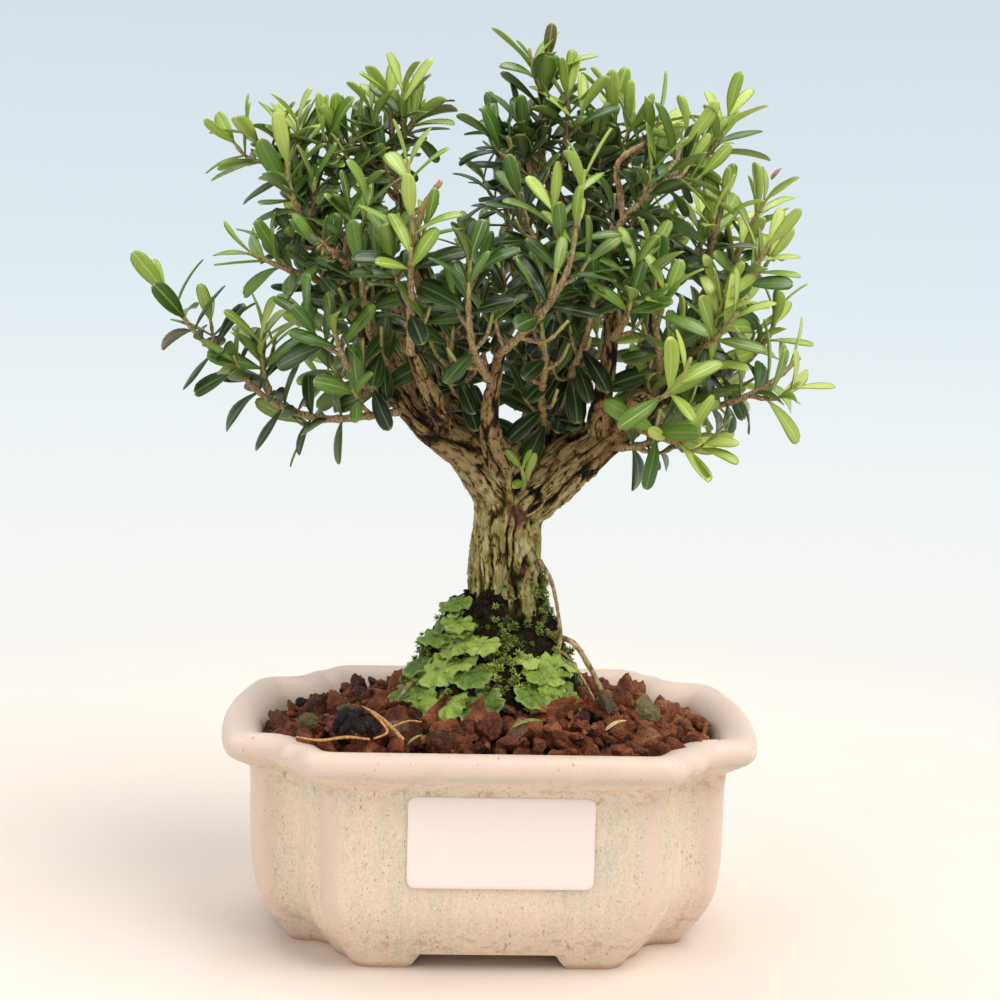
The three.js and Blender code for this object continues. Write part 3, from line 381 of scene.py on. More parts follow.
def set_values(mesh, values):
    """Gives each point of a mesh a number or a vector, by name."""
    for name, value in values.items():
        kind, field = ("FLOAT_VECTOR", "vector") if value.ndim == 2 else ("FLOAT", "value")
        layer = mesh.attributes.new(name, kind, "POINT")
        layer.data.foreach_set(field, value.astype(np.float32).ravel())


class Way:
    """A smooth way through a route of (x, y, z, radius), with a frame carried along it.

    A route without radii has the radius 0.
    """

    def __init__(self, route):
        rows = np.array([tuple(p) + (0,) * (4 - len(p)) for p in route], float)
        rows = np.vstack([2 * rows[0] - rows[1], rows, 2 * rows[-1] - rows[-2]])
        t = np.arange(6)[:, None] / 6
        spans = []
        for i in range(1, len(rows) - 2):
            p0, p1, p2, p3 = rows[i - 1:i + 3]
            bend = (2 * p0 - 5 * p1 + 4 * p2 - p3) * t**2 + (3 * p1 - p0 - 3 * p2 + p3) * t**3
            spans.append(0.5 * (2 * p1 + (p2 - p0) * t + bend))
        samples = np.vstack(spans + [rows[-2:-1]])
        self.points = samples[:, :3]
        self.radii = samples[:, 3]
        last = len(samples) - 1
        index = np.arange(last + 1)
        self.tangents = unit(self.points[np.minimum(index + 1, last)] - self.points[np.maximum(index - 1, 0)])
        steps = np.linalg.norm(np.diff(self.points, axis=0), axis=1)
        self.lengths = np.concatenate([[0], np.cumsum(steps)])
        self.length = self.lengths[-1]
        normal = np.array([1.0, 0, 0]) if abs(self.tangents[0][2]) > 0.9 else np.array([0, 0, 1.0])
        self.normals = []
        for tangent in self.tangents:
            normal = unit(normal - tangent * np.dot(normal, tangent))
            self.normals.append(normal)
        self.normals = np.array(self.normals)

    def at(self, distances):
        """Point, tangent, normal, side and radius at distances along the way."""
        s = np.clip(np.asarray(distances, float), 0, self.length)
        i = np.minimum(np.searchsorted(self.lengths[1:], s), len(self.lengths) - 2)
        t = ((s - self.lengths[i]) / (self.lengths[i + 1] - self.lengths[i]))[:, None]
        tangent = unit(mix(self.tangents[i], self.tangents[i + 1], t))
        normal = mix(self.normals[i], self.normals[i + 1], t)
        normal = unit(normal - tangent * dot(normal, tangent))
        point = mix(self.points[i], self.points[i + 1], t)
        radius = mix(self.radii[i], self.radii[i + 1], t[:, 0])
        return point, tangent, normal, np.cross(tangent, normal), radius


def grid(rows, columns, start=0, wrap=True):
    """Quads of a grid of points, row by row, joined round if it wraps."""
    r, c = np.meshgrid(np.arange(rows - 1), np.arange(columns if wrap else columns - 1), indexing="ij")
    after = (c + 1) % columns
    quads = [r * columns + c, r * columns + after, (r + 1) * columns + after, (r + 1) * columns + c]
    return np.stack(quads, axis=-1).reshape(-1, 4) + start


def fan(ring, middle, flip=False):
    """Triangles from a ring of points to the point in its middle."""
    ring = np.asarray(ring)
    after = np.roll(ring, -1)
    pair = (after, ring) if flip else (ring, after)
    return np.stack([*pair, np.full(len(ring), middle)], axis=-1)


class Batch:
    """Points, faces and point values gathered from many small shapes into one mesh."""

    def __init__(self):
        self.points = []
        self.faces = []
        self.values = {}
        self.count = 0

    def add(self, points, *faces, **values):
        """Adds a shape; each value is one number for all its points, or one for each."""
        points = np.asarray(points).reshape(-1, 3)
        self.faces += [np.asarray(f) + self.count for f in faces]
        for name, value in values.items():
            value = np.broadcast_to(np.asarray(value, float), len(points))
            self.values.setdefault(name, []).append(value)
        self.points.append(points)
        self.count += len(points)

    def rings(self, rings, **values):
        """A closed tube of rings (rows, sides, 3), counter-clockwise round the way to the last."""
        rows, sides = rings.shape[:2]
        ends = np.stack([rings[0].mean(0), rings[-1].mean(0)])
        points = np.vstack([rings.reshape(-1, 3), ends])
        caps = [
            fan(np.arange(sides), rows * sides, True),
            fan(np.arange(sides) + (rows - 1) * sides, rows * sides + 1),
        ]
        full = {}
        for name, value in values.items():
            value = np.asarray(value, float)
            if value.ndim:
                value = np.broadcast_to(value.reshape(rows, -1), (rows, sides))
                value = np.concatenate([value.ravel(), [value[0, 0], value[-1, 0]]])
            full[name] = value
        self.add(points, grid(rows, sides), *caps, **full)

    def mesh(self, name):
        mesh = bpy.data.meshes.new(name)
        points = np.vstack(self.points)
        sizes = np.concatenate([np.full(len(f), f.shape[1]) for f in self.faces])
        corners = np.concatenate([f.ravel() for f in self.faces])
        mesh.vertices.add(len(points))
        set_points(mesh, points)
        mesh.loops.add(len(corners))
        mesh.loops.foreach_set("vertex_index", corners.astype(np.int32))
        mesh.polygons.add(len(sizes))
        mesh.polygons.foreach_set("loop_start", (np.cumsum(sizes) - sizes).astype(np.int32))
        set_values(mesh, {key: np.concatenate(parts) for key, parts in self.values.items()})
        mesh.update(calc_edges=True)
        mesh.validate()
        return mesh

    def piece(self, name, look, replaced=(), sharp=None):
        dress(name, self.mesh(name), look, replaced, sharp)


def dress(name, mesh, look, replaced=(), sharp=None):
    """Makes a mesh a piece that rides on the plant, with its material and what it replaces."""
    item = placed(name, mesh)
    mesh.materials.clear()
    mesh.materials.append(look.material)
    mesh.shade_smooth()
    if sharp:
        mesh.set_sharp_from_angle(angle=math.radians(sharp))
    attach(item, "root")
    if replaced:
        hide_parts(*replaced)


def tube(batch, route, sides, step, rough=0.0, channel=0, nodes=0.0, **values):
    """Adds a round, slightly uneven bar along a route, swollen at nodes if their spacing is given."""
    way = Way(route)
    rows = max(3, int(round(way.length / step)) + 1)
    s = np.linspace(0, way.length, rows)
    point, _, normal, side, radius = way.at(s)
    if nodes:
        radius = radius * (1 + 0.32 * hill((s + nodes / 2) % nodes, nodes / 2, 0.75))
    ring = spokes(normal, side, sides)
    rings = point[:, None] + ring * radius[:, None, None]
    if rough:
        swell = 1 + rough * fractal(rings / 1.6 + 11.0 * channel, 2, channel)
        rings = point[:, None] + ring * (radius[:, None] * swell)[..., None]
    values = {k: (v(s / way.length) if callable(v) else v) for k, v in values.items()}
    batch.rings(rings, **values)
    return way


# Materials

def rgb(red, green, blue):
    """A screen colour from 0 to 255 as Blender's linear colour."""
    scaled = np.array([red, green, blue]) / 255
    linear = np.where(scaled <= 0.04045, scaled / 12.92, ((scaled + 0.055) / 1.055) ** 2.4)
    return (*linear.tolist(), 1.0)


def set_stops(ramp, stops):
    """Fills a colour ramp with stops of position, red, green and blue."""
    elements = ramp.color_ramp.elements
    while len(elements) < len(stops):
        elements.new(0.5)
    for element, (position, *colour) in zip(elements, stops):
        element.position = position
        element.color = rgb(*colour)


class Look:
    """A Principled material, with short ways to add the nodes that colour it."""

    def __init__(self, name, **sockets):
        self.material = bpy.data.materials.new(name)
        self.material.use_nodes = True
        self.tree = self.material.node_tree
        self.shader = self.tree.nodes["Principled BSDF"]
        for key, value in sockets.items():
            self.feed(self.shader.inputs[key.replace("_", " ")], value)
        self.place = self.node("ShaderNodeTexCoord").outputs["Object"]

    def axis(self, index):
        """One coordinate of the place, in metres."""
        return self.node("ShaderNodeSeparateXYZ", {0: self.place}).outputs[index]

    def feed(self, socket, value):
        if isinstance(value, bpy.types.NodeSocket):
            self.tree.links.new(value, socket)
        else:
            socket.default_value = value

    def node(self, kind, inputs=(), **settings):
        node = self.tree.nodes.new(kind)
        for key, value in settings.items():
            setattr(node, key, value)
        for key, value in dict(inputs).items():
            self.feed(node.inputs[key], value)
        return node

    def scaled(self, size, vector=None):
        """A place scaled so that one unit is size millimetres, or three sizes along X, Y and Z."""
        size = np.broadcast_to(np.array(size, float), 3)
        inputs = {0: vector or self.place, 1: tuple(1 / (size * MM))}
        return self.node("ShaderNodeVectorMath", inputs, operation="MULTIPLY").outputs[0]

    def noise(self, size, detail=2.0, roughness=0.5, vector=None, distortion=0.0):
        inputs = {
            "Vector": self.scaled(size, vector), "Scale": 1.0, "Detail": detail,
            "Roughness": roughness, "Distortion": distortion,
        }
        return self.node("ShaderNodeTexNoise", inputs).outputs["Fac"]

    def cells(self, size, feature="F1", output="Distance", vector=None):
        inputs = {"Vector": self.scaled(size, vector), "Scale": 1.0}
        return self.node("ShaderNodeTexVoronoi", inputs, feature=feature).outputs[output]

    def chance(self, size, channel):
        """A number from 0 to 1 for each cell."""
        parts = self.node("ShaderNodeSeparateColor", {0: self.cells(size, output="Color")})
        return parts.outputs[channel]

    def value(self, name, output="Fac"):
        return self.node("ShaderNodeAttribute", attribute_name=name).outputs[output]

    def calc(self, operation, a, b=0.0):
        return self.node("ShaderNodeMath", {0: a, 1: b}, operation=operation).outputs[0]

    def times(self, a, b):
        return self.calc("MULTIPLY", a, b)

    def plus(self, a, b):
        return self.calc("ADD", a, b)

    def less(self, a, b):
        return self.calc("SUBTRACT", a, b)

    def ease(self, value, low, high, to_low=0.0, to_high=1.0):
        inputs = {"Value": value, "From Min": low, "From Max": high, "To Min": to_low, "To Max": to_high}
        node = self.node("ShaderNodeMapRange", inputs, interpolation_type="SMOOTHSTEP")
        return node.outputs["Result"]

    def ramp(self, factor, *stops):
        node = self.node("ShaderNodeValToRGB", {"Fac": factor})
        set_stops(node, stops)
        return node.outputs["Color"]

    def mix(self, factor, a, b):
        node = self.node("ShaderNodeMix", data_type="RGBA")
        for index, value in ((0, factor), (6, a), (7, b)):
            self.feed(node.inputs[index], value)
        return node.outputs[2]

    def bump(self, height, depth, strength=1.0):
        """Bump of a height that runs from 0 to 1, depth millimetres deep."""
        inputs = {"Height": height, "Distance": depth * MM, "Strength": strength}
        if self.shader.inputs["Normal"].links:
            inputs["Normal"] = self.shader.inputs["Normal"].links[0].from_socket
        self.feed(self.shader.inputs["Normal"], self.node("ShaderNodeBump", inputs).outputs["Normal"])

    def colour(self, socket):
        self.feed(self.shader.inputs["Base Color"], socket)

    def rough(self, socket):
        self.feed(self.shader.inputs["Roughness"], socket)


def glaze_look():
    """Cream glaze, run down in streaks, with brown pits, thin on the ridges and bare on the feet."""
    look = Look("glaze", Coat_Weight=0.12, Coat_Roughness=0.3, Specular_IOR_Level=0.4)
    thin, pool, raw = (look.value(key) for key in ("thin", "pool", "raw"))
    broad = look.noise(22, 3)
    streaks = look.noise((2.2, 2.2, 26), 4, 0.65, distortion=0.5)
    patch = look.plus(look.times(broad, 0.5), look.times(streaks, 0.5))
    body = look.ramp(
        patch, (0.36, 205, 199, 180), (0.44, 217, 205, 182), (0.53, 228, 208, 183),
        (0.66, 235, 213, 193),
    )
    grains = look.noise((0.55, 0.55, 0.9), 4, 0.7)
    body = look.mix(look.ease(grains, 0.5, 0.68, 0, 0.55), body, rgb(243, 226, 206))
    body = look.mix(look.ease(grains, 0.5, 0.34, 0, 0.45), body, rgb(196, 168, 138))
    blush = look.mix(look.noise(7, 3), rgb(219, 193, 175), rgb(227, 204, 189))
    body = look.mix(thin, body, blush)
    # Grey-green glaze that has gathered in the lip's lower edge
    gathered = look.times(look.value("gathered"), look.ease(look.noise((9, 9, 2.5), 3), 0.36, 0.56))
    body = look.mix(look.times(gathered, 0.85), body, rgb(202, 194, 178))
    # Fine brown pits, gathered in upright bands and drawn out a little as the glaze ran
    pits = None
    for size, bands, most in (((0.7, 0.7, 1.3), (6, 6, 40), 0.5), ((1.5, 1.5, 3.2), (9, 9, 20), 0.08)):
        chance = look.chance(size, 0)
        density = look.ease(look.noise(bands, 2, 0.6), 0.42, 0.64, 0.03, most)
        density = look.times(density, look.less(1.0, look.times(thin, 0.93)))
        spots = look.ease(look.cells(size), 0.16, 0.34, 1, 0)
        found = look.times(spots, look.calc("LESS_THAN", chance, density))
        pits = found if pits is None else look.calc("MAXIMUM", pits, found)
    tint = look.ramp(look.noise(3, 1), (0.4, 134, 100, 70), (0.6, 178, 142, 106))
    body = look.mix(look.times(pits, 0.6), body, tint)
    # A few larger dark specks and long brown runs below the lip
    lone = look.chance(8, 1)
    specks = look.times(look.ease(look.cells(8), 0.05, 0.1, 1, 0), look.calc("LESS_THAN", lone, 0.2))
    body = look.mix(specks, body, rgb(104, 76, 56))
    runs = look.ease(look.noise((1.7, 1.7, 11), 2, 0.6), 0.62, 0.7)
    body = look.mix(look.times(look.times(runs, pool), 0.6), body, rgb(156, 116, 80))
    drip = look.times(pool, look.ease(look.noise((3.4, 3.4, 2.4), 4, 0.6), 0.5, 0.64))
    body = look.mix(look.times(drip, 0.55), body, rgb(178, 150, 116))
    clay = look.mix(look.noise(1.2, 3), rgb(186, 142, 108), rgb(208, 170, 136))
    look.colour(look.mix(raw, body, clay))
    gloss = look.ease(look.noise(14, 2), 0.3, 0.7, 0.4, 0.58)
    look.rough(look.calc("MAXIMUM", gloss, look.times(raw, 0.85)))
    look.bump(look.less(look.noise(6, 2), look.times(pits, 0.35)), 0.25, 0.7)
    look.bump(grains, 0.09, 0.8)
    return look


def bark_look():
    """Pale corky ridges over dark furrows, partly painted highlight and painted shade, browner on the limbs,
    with algae, wounds and a dark foot.
    """
    look = Look("bark", Roughness=0.88, Specular_IOR_Level=0.25)
    height, tone, grain = look.value("height"), look.value("tone"), look.value("grain", "Vector")
    fibre = look.noise((0.42, 0.42, 2.6), 5, 0.72, grain)
    crust = look.noise(0.6, 5, 0.7)
    cracks = look.ease(look.cells((1.3, 1.3, 6.5), "DISTANCE_TO_EDGE", vector=grain), 0.0, 0.1, 1, 0)
    cracks = look.times(cracks, look.ease(look.noise((1.8, 1.8, 4), 3), 0.45, 0.58))
    # The colour follows the relief: pale on the ridges, dark in the furrows and cracks. This is partly the
    # bark's own colour and partly painted highlight and painted shade.
    mixed = look.plus(look.times(height, 0.66), look.times(fibre, 0.5))
    mixed = look.plus(mixed, look.times(look.less(tone, 0.5), 0.2))
    mixed = look.less(mixed, look.times(cracks, 0.3))
    trunk = look.ramp(
        mixed, (0.3, 26, 19, 9), (0.45, 76, 60, 28), (0.58, 138, 118, 60), (0.7, 196, 178, 106),
        (0.84, 228, 214, 158),
    )
    limb = look.ramp(
        mixed, (0.36, 22, 14, 8), (0.5, 62, 42, 24), (0.64, 112, 84, 50), (0.84, 180, 152, 104),
    )
    body = look.mix(look.value("limb"), trunk, limb)
    rust = look.ease(look.noise((4, 4, 9), 3), 0.5, 0.64, 0, 0.5)
    body = look.mix(rust, body, look.ramp(mixed, (0.35, 44, 26, 16), (0.8, 156, 108, 70)))
    # Green algae in patches, thickest low down
    algae = look.times(look.value("algae"), look.ease(look.noise((2.0, 2.0, 5), 4), 0.4, 0.58))
    green = look.ramp(mixed, (0.35, 40, 42, 12), (0.58, 96, 98, 30), (0.8, 164, 158, 72))
    body = look.mix(look.times(algae, 0.85), body, green)
    wound = look.mix(crust, rgb(92, 54, 34), rgb(176, 124, 88))
    body = look.mix(look.value("wound"), body, wound)
    # Near black low on the trunk's front left, just above the mound
    body = look.mix(look.value("dark_foot"), body, look.mix(crust, rgb(16, 12, 9), rgb(52, 38, 28)))
    look.colour(body)
    rough = look.plus(fibre, look.times(crust, 0.7))
    look.bump(look.less(rough, look.times(cracks, 0.8)), 0.85)
    return look


def root_look():
    look = Look("aerial_root", Roughness=0.7)
    knots = look.noise((1.1, 1.1, 2.6), 3)
    body = look.ramp(
        knots, (0.3, 92, 68, 42), (0.45, 156, 124, 82), (0.65, 206, 178, 132),
    )
    look.colour(look.mix(look.ease(look.noise(4, 2), 0.5, 0.7, 0, 0.5), body, rgb(120, 122, 52)))
    look.bump(knots, 0.3)
    return look


def stem_look():
    look = Look("stem", Roughness=0.6)
    age = look.value("age")
    grain = look.noise((0.5, 0.5, 1.2), 3)
    old = look.ramp(grain, (0.3, 84, 64, 36), (0.5, 148, 122, 78), (0.7, 196, 172, 124))
    new = look.mix(grain, rgb(132, 134, 56), rgb(184, 182, 96))
    look.colour(look.mix(look.ease(age, 0.4, 0.95), old, new))
    look.bump(grain, 0.15)
    return look


# Leaves with a tone above this are withered
WITHERED = 0.972


def leaf_look(name):
    """A leathery leaf by its age, with a pale rib and edge, and a matt, paler underside."""
    look = Look(name, Specular_IOR_Level=0.42, Coat_Weight=0.1, Coat_Roughness=0.2)
    age, tone, under = (look.value(key) for key in ("age", "tone", "under"))
    across, along = look.value("across"), look.value("along")
    side = look.calc("ABSOLUTE", across)
    blotch = look.noise(2.6, 3)
    shade = look.plus(look.times(tone, 0.8), look.times(blotch, 0.2))
    old = look.ramp(
        shade, (0.1, 16, 32, 7), (0.4, 28, 49, 11), (0.7, 47, 73, 19), (0.95, 84, 108, 40),
    )
    grown = look.ramp(shade, (0.1, 47, 80, 18), (0.5, 78, 116, 30), (0.9, 120, 152, 52))
    fresh = look.ramp(shade, (0.1, 128, 158, 46), (0.5, 156, 180, 64), (0.9, 182, 198, 92))
    body = look.mix(look.ease(age, 0.1, 0.45), old, grown)
    body = look.mix(look.ease(age, 0.5, 0.9), body, fresh)
    withered = look.mix(blotch, rgb(72, 58, 42), rgb(112, 92, 66))
    body = look.mix(look.ease(tone, WITHERED, 0.98, 0, 0.85), body, withered)
    # Side veins leave the rib forwards
    slant = look.less(look.times(along, 13.0), look.times(side, 2.6))
    vein = look.calc("ABSOLUTE", look.calc("SINE", look.times(slant, math.pi)))
    body = look.mix(look.ease(vein, 0.0, 0.3, 0.07, 0), body, rgb(170, 184, 104))
    rib = look.ease(side, 0.05, 0.13, 1, 0)
    pale = look.mix(look.ease(age, 0.2, 0.9), rgb(122, 140, 84), rgb(206, 214, 134))
    body = look.mix(look.times(rib, 0.6), body, pale)
    edge = look.ease(side, 0.86, 1.0)
    body = look.mix(look.times(edge, 0.5), body, rgb(176, 188, 108))
    tip = look.ease(along, 0.93, 1.0, 0, 0.45)
    body = look.mix(tip, body, rgb(196, 190, 110))
    back = look.mix(look.ease(age, 0.2, 0.8), rgb(112, 132, 74), rgb(172, 192, 92))
    body = look.mix(look.times(under, 0.8), body, back)
    look.colour(body)
    look.rough(look.ease(look.plus(blotch, look.times(under, 0.6)), 0.3, 1.0, 0.27, 0.62))
    relief = look.less(look.times(vein, 0.5), look.times(rib, 0.8))
    look.bump(relief, 0.05, 0.7)
    return look


def lava_look():
    """Red-brown pitted lava, and among it grey, buff, mossy and pink stones."""
    look = Look("lava", Roughness=0.6, Specular_IOR_Level=0.45)
    tone, hue = look.value("tone"), look.value("hue")
    red = look.ramp(
        tone, (0.0, 46, 18, 8), (0.25, 88, 38, 17), (0.5, 134, 63, 30), (0.75, 178, 96, 50),
        (1.0, 214, 142, 88),
    )
    other = look.ramp(
        hue, (0.0, 26, 22, 22), (0.25, 44, 34, 30), (0.35, 118, 98, 76), (0.6, 112, 104, 52),
        (0.7, 164, 150, 98), (0.85, 156, 116, 84), (1.0, 176, 138, 108),
    )
    body = look.mix(look.value("plain"), other, red)
    grit = look.noise(0.5, 5, 0.75)
    rust = look.ease(look.noise(1.5, 3), 0.5, 0.68, 0, 0.4)
    body = look.mix(look.times(rust, look.value("plain")), body, rgb(186, 108, 60))
    pores = look.ease(look.cells(1.0), 0.08, 0.36)
    body = look.mix(look.ease(grit, 0.52, 0.34, 0, 0.7), body, rgb(40, 20, 12))
    body = look.mix(look.ease(grit, 0.54, 0.7, 0, 0.4), body, rgb(206, 158, 122))
    # Pores painted near black: painted shade in the pits that the bump makes
    body = look.mix(look.times(look.less(1.0, pores), 0.35), body, rgb(34, 18, 12))
    look.colour(body)
    look.bump(look.plus(look.times(pores, 0.6), look.times(grit, 1.4)), 0.95)
    return look


def peat_look(name):
    look = Look(name, Roughness=0.95, Specular_IOR_Level=0.15)
    crumb = look.noise(1.0, 5, 0.75)
    body = look.ramp(
        crumb, (0.32, 12, 10, 8), (0.5, 34, 26, 18), (0.62, 64, 44, 30), (0.75, 98, 70, 48),
    )
    moss = look.times(look.value("moss"), look.ease(look.noise(1.8, 3), 0.42, 0.6))
    green = look.ramp(crumb, (0.35, 26, 32, 12), (0.55, 58, 66, 24), (0.7, 104, 114, 48))
    look.colour(look.mix(moss, body, green))
    look.bump(look.plus(crumb, look.cells(1.4)), 0.7)
    return look


def moss_look():
    look = Look("star_moss", Roughness=0.6)
    tone = look.value("tone")
    body = look.ramp(
        tone, (0.0, 76, 88, 20), (0.4, 116, 136, 36), (0.75, 154, 174, 60), (1.0, 196, 206, 106),
    )
    look.colour(look.mix(look.ease(look.value("along"), 0.5, 1.0, 0, 0.4), body, rgb(190, 200, 116)))
    return look


def liverwort_look():
    look = Look("liverwort", Roughness=0.45, Specular_IOR_Level=0.4)
    ring, tone = look.value("ring"), look.value("tone")
    mottle = look.noise(1.3, 3)
    mixed = look.plus(look.times(tone, 0.62), look.times(mottle, 0.38))
    body = look.ramp(
        mixed, (0.2, 64, 88, 22), (0.42, 98, 124, 34), (0.62, 130, 156, 52), (0.85, 172, 192, 92),
    )
    body = look.mix(look.ease(ring, 0.75, 1.0, 0, 0.5), body, rgb(176, 196, 104))
    body = look.mix(look.ease(ring, 0.0, 0.6, 0.35, 0), body, rgb(72, 98, 38))
    pores = look.ease(look.cells(0.75), 0.05, 0.3, 0.35, 0)
    body = look.mix(pores, body, rgb(168, 188, 96))
    body = look.mix(look.times(look.value("under"), 0.8), body, rgb(54, 56, 28))
    look.colour(body)
    look.bump(look.plus(mottle, look.cells(0.8)), 0.25)
    return look


def dry_look(name, dark, light):
    look = Look(name, Roughness=0.8)
    grain = look.noise((0.6, 0.6, 1.8), 3)
    look.colour(look.ramp(grain, (0.3, *dark), (0.7, *light)))
    look.bump(grain, 0.2)
    return look


def scrap_look():
    """Husks and dead leaf bits, green at the front, straw and brown elsewhere."""
    look = Look("dry_scrap", Roughness=0.7)
    grain = look.noise((0.8, 0.8, 0.8), 3)
    green = look.ease(look.axis(0), (POT_CENTRE[0] + 22) * MM, (POT_CENTRE[0] + 18) * MM)
    high = look.ease(look.axis(2), 0.08, 0.09)
    dry = look.ramp(grain, (0.35, 176, 140, 92), (0.65, 230, 208, 158))
    fresh = look.ramp(grain, (0.35, 104, 112, 48), (0.65, 156, 158, 82))
    brown = look.ramp(grain, (0.35, 122, 78, 50), (0.65, 190, 144, 104))
    body = look.mix(green, dry, fresh)
    look.colour(look.mix(high, body, brown))
    look.bump(grain, 0.15)
    return look


def label_look():
    look = Look("label", Roughness=0.5)
    look.colour(look.mix(look.noise(0.6, 3), rgb(243, 228, 221), rgb(249, 236, 229)))
    look.bump(look.noise(0.35, 2), 0.02, 0.5)
    return look


def screen_look():
    look = Look("screen", Roughness=0.6)
    look.colour(look.mix(look.noise(1.5, 2), rgb(30, 30, 31), rgb(46, 46, 46)))
    look.bump(look.noise(0.5, 2), 0.04, 0.5)
    return look


# The camera, the lights and the ground

# The camera's lens, roll, direction and place, as fitted to the pot in the photo
LENS = 56.45
ROLL = 0.02372
FORWARD = (0.0347, 0.9933, -0.1100)
CAMERA_PLACE = (-14.04, -453.58, 175.67)
# Area lights: place and target in metres, size, power in watts and colour
LIGHTS = {
    "key": ((1.35, -0.9, 2.35), (0, 0, 0.12), (2.0, 2.0), 72, (1.0, 0.97, 0.93)),
    "fill": ((-1.9, -1.3, 1.9), (0, 0, 0.12), (1.8, 1.8), 22, (1.0, 0.98, 0.96)),
    "top": ((-0.35, 0.75, 2.5), (0, 0, 0.15), (2.0, 1.6), 32, (0.99, 0.99, 1.0)),
}
# The world's colours from the horizon up, and the floor's far colours by distance
SKY = (
    (0.0, 229, 239, 243), (0.03, 224, 236, 242), (0.2, 213, 223, 232), (0.36, 174, 180, 188),
    (1.0, 154, 159, 166),
)
FAR_FLOOR = (
    (0.0, 251, 248, 243), (0.108, 248, 247, 243), (0.255, 240, 245, 245), (0.6, 231, 240, 243),
    (1.0, 229, 239, 243),
)
FLOOR_REACH = 30000
FLOOR_SIDES = 72


def make_camera():
    data = bpy.data.cameras.new("camera")
    data.sensor_width = 36
    data.lens = LENS
    data.clip_start = 0.01
    data.clip_end = 200
    camera = placed("camera", data)
    forward = Vector(FORWARD).normalized()
    level = forward.cross(Vector((0, 0, 1))).normalized()
    upright = level.cross(forward)
    right = level * math.cos(ROLL) + upright * math.sin(ROLL)
    up = upright * math.cos(ROLL) - level * math.sin(ROLL)
    place = Vector(CAMERA_PLACE) * MM + Vector(POT_CENTRE) * MM
    turn = Matrix((right, up, -forward)).transposed().to_4x4()
    camera.matrix_world = Matrix.Translation(place) @ turn
    bpy.context.scene.camera = camera


def area_light(name, place, target, size, power, colour):
    data = bpy.data.lights.new(name, "AREA")
    data.shape = "RECTANGLE"
    data.size, data.size_y = size
    data.energy = power
    data.color = colour
    light = placed(name, data)
    light.location = place
    light.rotation_euler = (Vector(target) - Vector(place)).to_track_quat("-Z", "Y").to_euler()


def make_sky():
    world = bpy.data.worlds.new("studio")
    bpy.context.scene.world = world
    world.use_nodes = True
    tree = world.node_tree
    background = tree.nodes["Background"]
    place = tree.nodes.new("ShaderNodeTexCoord").outputs["Generated"]
    split = tree.nodes.new("ShaderNodeSeparateXYZ")
    tree.links.new(place, split.inputs[0])
    ramp = tree.nodes.new("ShaderNodeValToRGB")
    set_stops(ramp, SKY)
    tree.links.new(split.outputs["Z"], ramp.inputs["Fac"])
    tree.links.new(ramp.outputs["Color"], background.inputs["Color"])
    background.inputs["Strength"].default_value = 1.0


def make_floor():
    batch = Batch()
    radii = np.geomspace(100, FLOOR_REACH, 24)
    angle = circle(FLOOR_SIDES)
    rings = radii[:, None, None] * np.stack([np.cos(angle), np.sin(angle), 0 * angle], axis=-1)[None]
    points = np.vstack([rings.reshape(-1, 3), [[0, 0, 0]]])
    rim = grid(len(radii), FLOOR_SIDES)
    batch.add(points, rim[:, ::-1], fan(np.arange(FLOOR_SIDES), len(points) - 1))
    floor = placed("floor", batch.mesh("floor"))

    # Lit near the pot, and as bright as the sky's edge far off, so that no horizon shows
    look = Look("ground", Roughness=0.7, Specular_IOR_Level=0.2)
    reach = look.node("ShaderNodeVectorMath", {0: look.place}, operation="LENGTH").outputs["Value"]
    look.colour(look.mix(look.noise(40, 3), rgb(226, 212, 200), rgb(231, 218, 207)))
    far = look.ramp(look.calc("LOGARITHM", look.plus(reach, 1.0), 1 + FLOOR_REACH * MM), *FAR_FLOOR)
    glow = look.node("ShaderNodeEmission", {"Color": far, "Strength": 1.0})
    joined = look.node("ShaderNodeMixShader", {0: look.ease(reach, 0.2, 0.5)})
    look.tree.links.new(look.shader.outputs[0], joined.inputs[1])
    look.tree.links.new(glow.outputs[0], joined.inputs[2])
    look.tree.links.new(joined.outputs[0], look.tree.nodes["Material Output"].inputs["Surface"])
    floor.data.materials.append(look.material)


# The pot and what belongs to it

QUARTER_POINTS = 112


def chaikin(profile, rounds):
    """A profile with its corners cut, its ends kept."""
    points = np.array(profile, float)
    for _ in range(rounds):
        low = 0.75 * points[:-1] + 0.25 * points[1:]
        high = 0.25 * points[:-1] + 0.75 * points[1:]
        inner = np.stack([low, high], axis=1).reshape(-1, points.shape[1])
        points = np.vstack([points[:1], inner[1:-1], points[-1:]])
    return points


def softened(line, reach):
    """A line with even steps whose bends are rounded over a reach in millimetres, its ends kept."""
    steps = np.linalg.norm(np.diff(line, axis=0), axis=1)
    along = np.concatenate([[0], np.cumsum(steps)])
    even = np.linspace(0, along[-1], QUARTER_POINTS)
    points = np.stack([np.interp(even, along, line[:, k]) for k in range(2)], axis=-1)
    weights = hill(even[:, None], even[None], reach)
    rounded = weights @ points / weights.sum(axis=1, keepdims=True)
    near_end = np.minimum(even, even[-1] - even)
    return mix(points, rounded, ease(near_end, 0, 3 * reach)[:, None])


